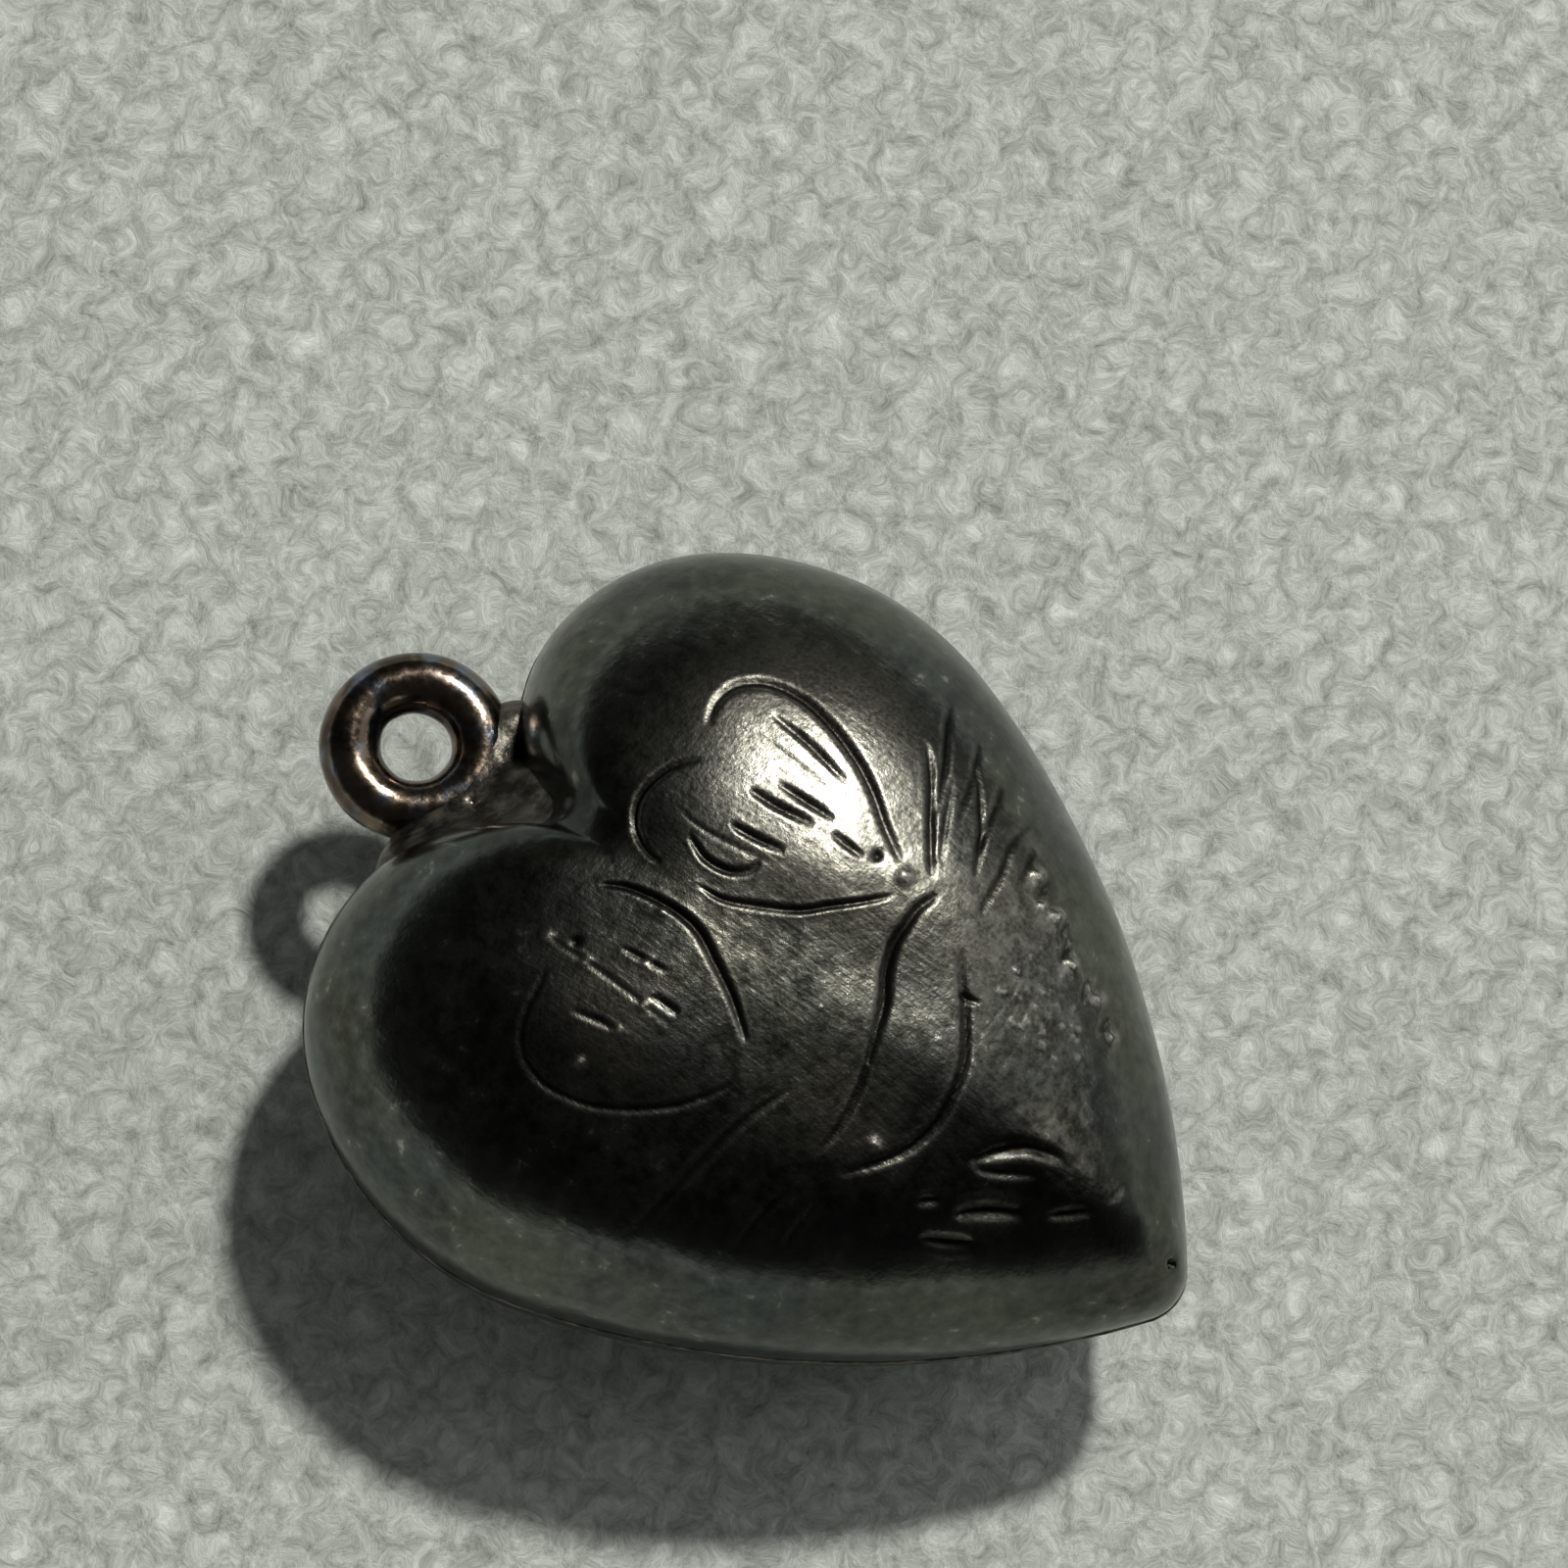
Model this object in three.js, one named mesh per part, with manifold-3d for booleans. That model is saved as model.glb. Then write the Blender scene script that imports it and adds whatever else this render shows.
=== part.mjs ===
// A hollow puffed heart charm with a fixed hanging ring, in millimetres.
// Two die-struck silver shells are soldered rim to rim, and a closed wire ring is soldered into the cleft.
// The charm lies on its back: +Z comes out of the decorated front, +Y runs from the tip to the ring,
// +X runs to the heart's right lobe as it is looked at. The origin is under the middle of the charm,
// on the surface that it lies on.
import * as THREE from "three";
import { mergeVertices } from "three/addons/utils/BufferGeometryUtils.js";
import Module from "manifold-3d";

const wasm = await Module();
wasm.setup();

// Outline of the heart, in the plane of the seam. Angles are those of the outward normal, in degrees.
const HALF_WIDTH = 6.35;
const TIP_RADIUS = 0.8;
const FLANK_RADIUS = 16; // long side up from the tip
const LOBE_RADIUS = 5; // outer side of a lobe
const LOBE_TOP_RADIUS = 3.35;
const CLEFT_DEPTH = 1.7; // from the lobes' tops to the bottom of the cleft
const CLEFT_RADIUS = 0.4; // the cleft's hollow bottom
const FLANK_TO_LOBE = -18; // where the flank's arc becomes the lobe's
const LOBE_TO_TOP = 39; // where the lobe's arc becomes the one over its top
const TOP_TO_CLEFT_SIDE = 85; // where the top's arc becomes the one down into the cleft

// Domes
const DOME_HEIGHT = 3.5; // from the rim to the crown of one shell
const DOME_CENTRE_Y = -1.3; // the crown's place on the heart's axis, next to the charm's centre of mass
const DOME_ROUNDNESS = 3; // exponent of the section: 2 is an ellipse, more is a flatter crown
const CROWN_RADIUS = 6; // the contours near the crown are circles, as if drawn in from this one
const CROWN_FADE = 1.5; // how late the circles turn into hearts on the way to the rim
const BACK_FLAT_RADIUS = 1.8; // the back's crown is flattened, and the charm lies on it
const WALL = 0.35;

// Seam
const SEAM_THICKNESS = 0.125; // solder between the two rims
const SEAM_PROUD = 0.03; // how far its bead stands out of the rims

// Vent, which lets the hot air out while the seam is soldered
const VENT_RADIUS = 0.08;
const VENT_DOWN_THE_DOME = 0.81; // share of the way from the crown to the rim, along the axis
const VENT_OFF_AXIS = 0.19;

// Hanging ring
const RING_HOLE_RADIUS = 0.55;
const WIRE_RADIUS = 0.48;
const RING_TO_LOBES = 0.1; // gap between the ring and each lobe, filled with solder

// Solder that holds the ring
const SOLDER_CLEARANCE = 0.02; // to the ring and to the shells
const SOLDER_HALF_THICKNESS = 0.4; // beside the ring
const SOLDER_SPREAD = 3; // how many times that it thickens by for each mm below the ring
const SOLDER_BEVEL = 0.14;
const SOLDER_UP_THE_RING = 0.85; // how high it climbs the ring's sides, from the ring's lowest point
const SOLDER_INTO_CLEFT = 0.3; // how far its outline runs past the cleft's bottom, before it is cut

// Fineness of the curved surfaces
const SEGMENTS_PER_ARC = 8;
const DOME_STEPS = 9;
const RING_STEPS = 40;
const WIRE_STEPS = 16;
const VENT_STEPS = 10;

const radians = THREE.MathUtils.degToRad;

// Centres of the outline's arcs on the right half. Each arc meets the next one without a corner.
const direction = (degrees) => new THREE.Vector2(Math.cos(radians(degrees)), Math.sin(radians(degrees)));
function nextCentre(centre, radius, nextRadius, degrees) {
  return centre.clone().addScaledVector(direction(degrees), radius - nextRadius);
}
const lobeCentre = new THREE.Vector2(HALF_WIDTH - LOBE_RADIUS, 0);
const flankCentre = nextCentre(lobeCentre, LOBE_RADIUS, FLANK_RADIUS, FLANK_TO_LOBE);
const topCentre = nextCentre(lobeCentre, LOBE_RADIUS, LOBE_TOP_RADIUS, LOBE_TO_TOP);

// The cleft's bottom is a small arc with its centre on the axis. The arc that leads down to it from a
// lobe's top touches that small arc, and this gives its radius.
const cleftCentre = new THREE.Vector2(0, topCentre.y + LOBE_TOP_RADIUS - CLEFT_DEPTH + CLEFT_RADIUS);
const cleftSideStart = topCentre.clone().addScaledVector(direction(TOP_TO_CLEFT_SIDE), LOBE_TOP_RADIUS);
const toStart = cleftSideStart.clone().sub(cleftCentre);
const cleftSideRadius =
  (toStart.lengthSq() - CLEFT_RADIUS ** 2) / (2 * (toStart.dot(direction(TOP_TO_CLEFT_SIDE)) + CLEFT_RADIUS));
const cleftSideCentre = nextCentre(topCentre, LOBE_TOP_RADIUS, cleftSideRadius, TOP_TO_CLEFT_SIDE);

// The point of the axis that lies at a distance from an arc's centre, above or below that centre
function onAxis(centre, distance, side) {
  return new THREE.Vector2(0, centre.y + side * Math.sqrt(distance ** 2 - centre.x ** 2));
}
const tipCentre = onAxis(flankCentre, FLANK_RADIUS - TIP_RADIUS, -1);
const ringRadius = RING_HOLE_RADIUS + 2 * WIRE_RADIUS;
const ringCentre = onAxis(cleftSideCentre, cleftSideRadius + RING_TO_LOBES + ringRadius, 1);

const tipEnd = tipCentre.y - TIP_RADIUS;
const cleftBottom = cleftCentre.y - CLEFT_RADIUS;

// The heart's outline, moved outwards by an amount: every arc keeps its centre and its angles.
function heartShape(outwards = 0) {
  const tipAngle = tipCentre.clone().sub(flankCentre).angle();
  const cleftAngle = cleftCentre.clone().sub(cleftSideCentre).angle();
  const flankAngle = radians(FLANK_TO_LOBE);
  const lobeAngle = radians(LOBE_TO_TOP);
  const topAngle = radians(TOP_TO_CLEFT_SIDE);
  const arcs = [
    [flankCentre, FLANK_RADIUS, tipAngle, flankAngle],
    [lobeCentre, LOBE_RADIUS, flankAngle, lobeAngle],
    [topCentre, LOBE_TOP_RADIUS, lobeAngle, topAngle],
    [cleftSideCentre, cleftSideRadius, topAngle, cleftAngle],
  ];
  const shape = new THREE.Shape();
  for (const [centre, radius, from, to] of arcs)
    shape.absarc(centre.x, centre.y, radius + outwards, from, to, false);
  shape.absarc(0, cleftCentre.y, CLEFT_RADIUS - outwards, cleftAngle + Math.PI, -cleftAngle, true);
  for (const [centre, radius, from, to] of arcs.reverse())
    shape.absarc(-centre.x, centre.y, radius + outwards, Math.PI - to, Math.PI - from, false);
  shape.absarc(0, tipCentre.y, TIP_RADIUS + outwards, Math.PI - tipAngle, tipAngle, false);
  return shape;
}

// The outline as points, without the last one, which repeats the first
function outlinePoints(outwards) {
  return heartShape(outwards)
    .getPoints(SEGMENTS_PER_ARC / 2)
    .slice(0, -1);
}

// How far a contour lies from the crown, in the direction in which the rim is at a reach. The contour's
// share of the way, 0 at the crown and 1 at the rim, turns it from a circle into the heart's outline.
function contourReach(reach, share) {
  const heartness = share ** CROWN_FADE;
  return share * reach ** heartness * CROWN_RADIUS ** (1 - heartness);
}

// One contour of a dome, where t runs from 0 at the edge of the crown's flat to a right angle at the rim:
// its height falls as cos(t), and its share of the way out grows as sin(t) ^ (2 / roundness).
function domeContour(outwards, flatRadius, t) {
  const flatShare = flatRadius / CROWN_RADIUS;
  const share = flatShare + (1 - flatShare) * Math.sin(t) ** (2 / DOME_ROUNDNESS);
  const z = (DOME_HEIGHT + outwards) * Math.cos(t);
  return outlinePoints(outwards).map((p) => {
    const fromCrown = new THREE.Vector2(p.x, p.y - DOME_CENTRE_Y);
    fromCrown.setLength(contourReach(fromCrown.length(), share));
    return new THREE.Vector3(fromCrown.x, DOME_CENTRE_Y + fromCrown.y, z);
  });
}

// The contours from the edge of the flat, or from just below a crown without one, to the rim
function domeContours(outwards, flatRadius) {
  const first = flatRadius > 0 ? 0 : 1;
  return Array.from({ length: DOME_STEPS + 1 - first }, (_, i) =>
    domeContour(outwards, flatRadius, ((i + first) / DOME_STEPS) * (Math.PI / 2)),
  );
}

const crown = (outwards) => new THREE.Vector3(0, DOME_CENTRE_Y, DOME_HEIGHT + outwards);

// A closed skin through contours of equally many points, with a fan from a point to the first and to the last
function skin(first, contours, last) {
  const count = contours[0].length;
  const vertices = [first, ...contours.flat(), last];
  const at = (row, i) => 1 + row * count + (i % count);
  const index = [];
  for (let i = 0; i < count; i++) {
    index.push(0, at(0, i), at(0, i + 1));
    for (let row = 0; row + 1 < contours.length; row++) {
      index.push(at(row, i), at(row + 1, i), at(row + 1, i + 1));
      index.push(at(row, i), at(row + 1, i + 1), at(row, i + 1));
    }
    index.push(at(contours.length - 1, i), vertices.length - 1, at(contours.length - 1, i + 1));
  }
  return new THREE.BufferGeometry().setFromPoints(vertices).setIndex(index);
}

// A hollow half heart that stands on its rim
function shellGeometry(flatRadius = 0) {
  const outside = domeContours(0, flatRadius);
  const inside = domeContours(-WALL, flatRadius).reverse();
  return skin(crown(0), [...outside, ...inside], crown(-WALL));
}

// The same half heart without its hollow, grown by an amount, for cutting what lies against it
function solidDomeGeometry(outwards, flatRadius = 0) {
  return skin(crown(outwards), domeContours(outwards, flatRadius), new THREE.Vector3(0, DOME_CENTRE_Y, 0));
}

function toSolid(geometry, matrix = new THREE.Matrix4()) {
  const bare = geometry.clone().applyMatrix4(matrix);
  bare.deleteAttribute("normal");
  bare.deleteAttribute("uv");
  const merged = mergeVertices(bare, 1e-5);
  return new wasm.Manifold(
    new wasm.Mesh({
      numProp: 3,
      vertProperties: new Float32Array(merged.attributes.position.array),
      triVerts: new Uint32Array(merged.index.array),
    }),
  );
}

function toGeometry(solid) {
  const { vertProperties, triVerts } = solid.getMesh();
  const geometry = new THREE.BufferGeometry()
    .setAttribute("position", new THREE.BufferAttribute(vertProperties, 3))
    .setIndex(new THREE.BufferAttribute(triVerts, 1));
  geometry.computeVertexNormals();
  return geometry;
}

// The vent is drilled square to the dome's slope, near the tip.
function ventMatrix() {
  const t = VENT_DOWN_THE_DOME * (Math.PI / 2);
  const reach = DOME_CENTRE_Y - tipEnd;
  const step = 1e-3;
  const point = (angle) =>
    new THREE.Vector3(
      VENT_OFF_AXIS,
      DOME_CENTRE_Y - contourReach(reach, Math.sin(angle) ** (2 / DOME_ROUNDNESS)),
      DOME_HEIGHT * Math.cos(angle),
    );
  const slope = point(t + step).sub(point(t - step)).normalize();
  const outwards = new THREE.Vector3(1, 0, 0).cross(slope).negate();
  const turn = new THREE.Quaternion().setFromUnitVectors(new THREE.Vector3(0, 1, 0), outwards);
  return new THREE.Matrix4().compose(point(t), turn, new THREE.Vector3(1, 1, 1));
}

function frontShellGeometry() {
  const drill = new THREE.CylinderGeometry(VENT_RADIUS, VENT_RADIUS, 3 * WALL, VENT_STEPS);
  return toGeometry(toSolid(shellGeometry()).subtract(toSolid(drill, ventMatrix())));
}

// The solder seam: a flat band between the rims, whose bead stands a little proud all round
function seamGeometry() {
  const band = heartShape(SEAM_PROUD);
  band.holes.push(new THREE.Path(outlinePoints(-WALL)));
  return new THREE.ExtrudeGeometry(band, {
    depth: SEAM_THICKNESS,
    bevelEnabled: false,
    curveSegments: SEGMENTS_PER_ARC / 2,
  });
}

function ringGeometry(extra = 0) {
  const middle = RING_HOLE_RADIUS + WIRE_RADIUS;
  return new THREE.TorusGeometry(middle, WIRE_RADIUS + extra, WIRE_STEPS, RING_STEPS);
}

// Below the ring the solder thickens as it runs up the lobes' sides, front and back alike.
function spreadBelow(geometry, ringBottom) {
  const position = geometry.getAttribute("position");
  for (let i = 0; i < position.count; i++) {
    const below = Math.max(0, ringBottom - position.getY(i));
    position.setZ(i, position.getZ(i) * (1 + SOLDER_SPREAD * below));
  }
  return geometry;
}

// The solder fills the cleft under the ring and climbs its sides, so its outline is a wedge
// that is then cut by the ring, by the ring's hole and by both domes.
function ringSolderGeometry() {
  const ringBottom = ringCentre.y - ringRadius;
  const shoulder = ringBottom + SOLDER_UP_THE_RING;
  const wedge = new THREE.Shape([
    new THREE.Vector2(0, cleftBottom - SOLDER_INTO_CLEFT),
    new THREE.Vector2(ringRadius - SOLDER_BEVEL, cleftCentre.y),
    new THREE.Vector2(ringRadius - SOLDER_BEVEL, ringBottom),
    new THREE.Vector2(ringRadius - SOLDER_BEVEL, shoulder - SOLDER_BEVEL),
    new THREE.Vector2(SOLDER_BEVEL - ringRadius, shoulder - SOLDER_BEVEL),
    new THREE.Vector2(SOLDER_BEVEL - ringRadius, ringBottom),
    new THREE.Vector2(SOLDER_BEVEL - ringRadius, cleftCentre.y),
  ]);
  const depth = 2 * (SOLDER_HALF_THICKNESS - SOLDER_BEVEL);
  const blank = new THREE.ExtrudeGeometry(wedge, {
    depth,
    bevelThickness: SOLDER_BEVEL,
    bevelSize: SOLDER_BEVEL,
    bevelSegments: 3,
  }).translate(0, 0, -depth / 2);
  spreadBelow(blank, ringBottom);
  const grown = SOLDER_CLEARANCE;
  const hole = new THREE.CylinderGeometry(
    RING_HOLE_RADIUS + WIRE_RADIUS,
    RING_HOLE_RADIUS + WIRE_RADIUS,
    3 * SOLDER_HALF_THICKNESS,
    RING_STEPS,
  ).rotateX(Math.PI / 2);
  const toRing = new THREE.Matrix4().makeTranslation(0, ringCentre.y, 0);
  const frontDome = solidDomeGeometry(grown);
  const backDome = solidDomeGeometry(grown, BACK_FLAT_RADIUS);
  const seam = SEAM_THICKNESS / 2;
  const lift = new THREE.Matrix4().makeTranslation(0, 0, seam);
  const upsideDown = new THREE.Matrix4().makeRotationY(Math.PI);
  const band = new THREE.ExtrudeGeometry(heartShape(SEAM_PROUD + grown), {
    depth: SEAM_THICKNESS + 2 * grown,
    bevelEnabled: false,
    curveSegments: SEGMENTS_PER_ARC / 2,
  }).translate(0, 0, -seam - grown);
  return toGeometry(
    toSolid(blank)
      .subtract(toSolid(ringGeometry(grown), toRing))
      .subtract(toSolid(hole, toRing))
      .subtract(toSolid(frontDome, lift))
      .subtract(toSolid(backDome, upsideDown.clone().multiply(lift)))
      .subtract(toSolid(band)),
  );
}

const silver = new THREE.MeshStandardMaterial({ color: 0x4a4843, roughness: 0.3, metalness: 1 });
const solderSilver = new THREE.MeshStandardMaterial({ color: 0x54534f, roughness: 0.45, metalness: 1 });
const ringSilver = new THREE.MeshStandardMaterial({ color: 0x4c443e, roughness: 0.2, metalness: 1 });

function named(name, geometry, material) {
  const mesh = new THREE.Mesh(geometry, material);
  mesh.name = name;
  return mesh;
}

// Each piece is placed from the middle of the seam.
const frontShell = named("front_shell", frontShellGeometry(), silver);
frontShell.position.z = SEAM_THICKNESS / 2;

const backShell = named("back_shell", shellGeometry(BACK_FLAT_RADIUS), silver);
backShell.rotation.y = Math.PI;
backShell.position.z = -SEAM_THICKNESS / 2;

const seamSolder = named("seam_solder", seamGeometry(), solderSilver);
seamSolder.position.z = -SEAM_THICKNESS / 2;

const hangingRing = named("hanging_ring", ringGeometry(), ringSilver);
hangingRing.position.y = ringCentre.y;

const ringSolder = named("ring_solder", ringSolderGeometry(), solderSilver);

// The origin is under the middle of the length, and the crown of the back touches the ground.
const charm = new THREE.Group();
charm.add(frontShell, backShell, seamSolder, hangingRing, ringSolder);
charm.position.y = -(ringCentre.y + ringRadius + tipEnd) / 2;
charm.position.z = DOME_HEIGHT + SEAM_THICKNESS / 2;

const part = new THREE.Group();
part.add(charm);

export default part;
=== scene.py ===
import bpy
import numpy as np
from mathutils import Matrix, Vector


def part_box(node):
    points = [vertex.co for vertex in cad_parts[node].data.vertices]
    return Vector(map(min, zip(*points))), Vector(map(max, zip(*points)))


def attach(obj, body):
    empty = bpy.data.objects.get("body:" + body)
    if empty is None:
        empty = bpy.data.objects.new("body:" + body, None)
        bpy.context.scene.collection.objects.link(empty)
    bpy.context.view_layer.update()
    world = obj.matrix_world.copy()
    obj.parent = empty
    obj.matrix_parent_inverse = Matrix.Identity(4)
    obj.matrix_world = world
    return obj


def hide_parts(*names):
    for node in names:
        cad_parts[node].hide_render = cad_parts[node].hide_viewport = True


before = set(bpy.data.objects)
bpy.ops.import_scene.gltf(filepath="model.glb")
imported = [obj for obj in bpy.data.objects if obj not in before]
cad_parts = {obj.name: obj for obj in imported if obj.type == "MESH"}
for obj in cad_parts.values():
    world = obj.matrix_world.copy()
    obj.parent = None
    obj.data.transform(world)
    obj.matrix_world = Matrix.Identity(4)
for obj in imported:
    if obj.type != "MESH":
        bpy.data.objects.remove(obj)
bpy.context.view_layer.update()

# ---------------------------------------------------------------------------
# Front shell. The engraved half of a small hollow heart charm, in sterling
# silver sheet struck into a die, chased by hand with a little floral pattern,
# and darkened all over so that only the rubbed places still shine.
# ---------------------------------------------------------------------------

MM = 0.001

HALF_WIDTH = 6.35
TIP_RADIUS = 0.8
FLANK_RADIUS = 16.0
LOBE_RADIUS = 5.0
LOBE_TOP_RADIUS = 3.35
CLEFT_DEPTH = 1.7
CLEFT_RADIUS = 0.4
FLANK_TO_LOBE = np.radians(-18)
LOBE_TO_TOP = np.radians(39)
TOP_TO_CLEFT_SIDE = np.radians(85)

DOME_HEIGHT = 3.5
DOME_CENTRE_Y = -1.3
DOME_ROUNDNESS = 3.0
CROWN_RADIUS = 6.0
CROWN_FADE = 1.5
WALL = 0.35

VENT_RADIUS = 0.08
VENT_DEPTH = 0.25
VENT_DOWN_THE_DOME = 0.81
VENT_OFF_AXIS = 0.19
VENT_SQUARENESS = 4

SHELL_COLUMNS = 600
SHELL_ROWS = 154
INNER_ROWS = 8
CONTOUR_STEPS = 4000
FACE_SHARE = 0.9
FACE_ROW_DENSITY = 1.7
MM_PER_RADIAN = 0.5
SHARP_FROM = np.radians(60)


def heading(angle):
    """The unit vector at an angle from +X."""
    return np.array([np.cos(angle), np.sin(angle)])


def arc(centre, radius, start, end, steps=400):
    """Points on a circle: the centre plus the radius times the heading at each angle."""
    angle = np.linspace(start, end, steps)
    return centre + radius * np.stack([np.cos(angle), np.sin(angle)], axis=1)


def heart_outline(columns):
    """The heart's edge, in mm with the lobes' centres on y 0, and its outward normals.

    The right half is six arcs that touch: tip, flank, lobe, top of the lobe, side of
    the cleft and bottom of the cleft. The left half is its mirror. The points are
    spread evenly by length plus half a millimetre for each radian that the edge turns.
    """
    lobe = np.array([HALF_WIDTH - LOBE_RADIUS, 0.0])
    flank = lobe + heading(FLANK_TO_LOBE) * (LOBE_RADIUS - FLANK_RADIUS)
    top = lobe + heading(LOBE_TO_TOP) * (LOBE_RADIUS - LOBE_TOP_RADIUS)
    cleft = np.array([0.0, top[1] + LOBE_TOP_RADIUS - CLEFT_DEPTH + CLEFT_RADIUS])
    across = heading(TOP_TO_CLEFT_SIDE)
    start = top + LOBE_TOP_RADIUS * across - cleft
    side_radius = (start @ start - CLEFT_RADIUS**2) / (2 * (start @ across + CLEFT_RADIUS))
    side = top + across * (LOBE_TOP_RADIUS - side_radius)
    tip = np.array([0.0, flank[1] - np.sqrt((FLANK_RADIUS - TIP_RADIUS) ** 2 - flank[0] ** 2)])
    tip_end = np.arctan2(*(tip - flank)[::-1])
    side_end = np.arctan2(*(cleft - side)[::-1])
    right = np.vstack([
        arc(tip, TIP_RADIUS, -np.pi / 2, tip_end),
        arc(flank, FLANK_RADIUS, tip_end, FLANK_TO_LOBE),
        arc(lobe, LOBE_RADIUS, FLANK_TO_LOBE, LOBE_TO_TOP),
        arc(top, LOBE_TOP_RADIUS, LOBE_TO_TOP, TOP_TO_CLEFT_SIDE),
        arc(side, side_radius, TOP_TO_CLEFT_SIDE, side_end),
        arc(cleft, CLEFT_RADIUS, side_end + np.pi, 1.5 * np.pi),
    ])
    edge = np.vstack([right, (right * [-1, 1])[::-1]])
    keep = np.r_[True, np.linalg.norm(np.diff(edge, axis=0), axis=1) > 1e-9]
    edge = edge[keep]
    step = np.diff(edge, axis=0)
    turn = np.unwrap(np.arctan2(step[:, 1], step[:, 0]))
    bend = np.r_[0.0, np.abs(np.diff(turn))]
    measure = np.r_[0.0, np.cumsum(np.linalg.norm(step, axis=1) + MM_PER_RADIAN * bend)]
    wanted = np.linspace(0.0, measure[-1], columns, endpoint=False)
    points = np.stack([np.interp(wanted, measure, edge[:, k]) for k in (0, 1)], axis=1)
    along = np.roll(points, -1, axis=0) - np.roll(points, 1, axis=0)
    along /= np.linalg.norm(along, axis=1, keepdims=True)
    return points, np.stack([along[:, 1], -along[:, 0]], axis=1)


def dome_rows(height, rows, flat_share=0.0):
    """Each row's share of the way out from the crown, and its height.

    The contour is a rounded cushion: the share out is the cube root of the squared
    sine of an angle, and the height goes with its cosine. The rows are closest on the
    face, where the engraving is. A flat crown takes up the first flat_share of the way.
    """
    angle = np.linspace(0.0, np.pi / 2, CONTOUR_STEPS)
    share = flat_share + (1 - flat_share) * np.sin(angle) ** (2 / DOME_ROUNDNESS)
    level = height * np.cos(angle)
    step = np.hypot(np.diff(share) * CROWN_RADIUS, np.diff(level))
    step = step * np.where(share[1:] < FACE_SHARE, FACE_ROW_DENSITY, 1.0)
    if flat_share > 0:
        share, level = np.r_[0.0, share], np.r_[height, level]
        step = np.r_[flat_share * CROWN_RADIUS, step]
    measure = np.r_[0.0, np.cumsum(step)]
    wanted = np.linspace(0.0, measure[-1], rows + 1)[1:]
    return np.interp(wanted, measure, share), np.interp(wanted, measure, level)


def puffed(edge, share, level):
    """The domed surface over a heart-shaped edge, rows by columns by x, y and z.

    A point goes from the crown towards its point of the edge. Near the crown it goes
    by the crown's radius, and near the edge by the edge's own reach.
    """
    crown = np.array([0.0, DOME_CENTRE_Y])
    reach = np.linalg.norm(edge - crown, axis=1)
    towards = (edge - crown) / reach[:, None]
    blend = share[:, None] ** CROWN_FADE
    out = share[:, None] * reach**blend * CROWN_RADIUS ** (1 - blend)
    flat = crown + out[..., None] * towards
    return np.dstack([flat, np.broadcast_to(level[:, None], out.shape)])


def grid_normals(grid):
    """Outward normals of a rows by columns grid whose columns close on themselves."""
    around = np.roll(grid, -1, axis=1) - np.roll(grid, 1, axis=1)
    down = np.gradient(grid, axis=0)
    normal = np.cross(down, around)
    return normal / np.maximum(np.linalg.norm(normal, axis=2, keepdims=True), 1e-12)


def curve_through(points, steps=7):
    """A smooth line through the points: each span is a cubic whose slope at either end
    is half the way between that point's two neighbours."""
    p = np.array(points, float)
    if len(p) < 3:
        return p[0] + np.linspace(0, 1, steps + 1)[:, None] * (p[-1] - p[0])
    p = np.vstack([2 * p[0] - p[1], p, 2 * p[-1] - p[-2]])
    a, b, c, d = p[:-3, None], p[1:-2, None], p[2:-1, None], p[3:, None]
    t = np.linspace(0, 1, steps, endpoint=False)[None, :, None]
    span = (b + t * (c - a) / 2 + t**2 * (a - 2.5 * b + 2 * c - d / 2)
            + t**3 * (3 * (b - c) + d - a) / 2)
    return np.vstack([span.reshape(-1, 2), p[-2]])


def beside_line(spots, line):
    """For each spot, its distance from a line, how far along the line it is from 0 to 1,
    and which side of it, 1 on the left and -1 on the right."""
    start, along = line[:-1], np.diff(line, axis=0)
    length = np.linalg.norm(along, axis=1)
    offset = spots[:, None] - start
    share = np.clip((offset * along).sum(2) / length**2, 0, 1)
    gap = offset - share[..., None] * along
    distance = np.linalg.norm(gap, axis=2)
    nearest = distance.argmin(axis=1)
    row = np.arange(len(spots))
    so_far = np.r_[0.0, np.cumsum(length)[:-1]]
    how_far = (so_far[nearest] + share[row, nearest] * length[nearest]) / length.sum()
    turn = along[nearest, 0] * gap[row, nearest, 1] - along[nearest, 1] * gap[row, nearest, 0]
    return distance[row, nearest], how_far, np.sign(turn)


# How much of each burr and of each cut's depth wear has left.
BURR_LEFT = 0.22
CUT_DEPTH_SHARE = 0.85

# Of a cut's half width: how far it reaches, how wide it is at its ends and how much it
# swells between them, and how far off and how wide its burr is.
CUT_REACH = 4
CUT_END_WIDTH = 0.55
CUT_SWELL = 0.45
BURR_AWAY = 1.7
BURR_WIDTH = 0.75

# The depths in mm from which a cut and a punched dot are black, and the heights from
# which a burr and a bead are bright.
BLACK_CUT = 0.06
BLACK_DOT = 0.04
BRIGHT_BURR = 0.022
BRIGHT_BEAD = 0.035

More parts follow.
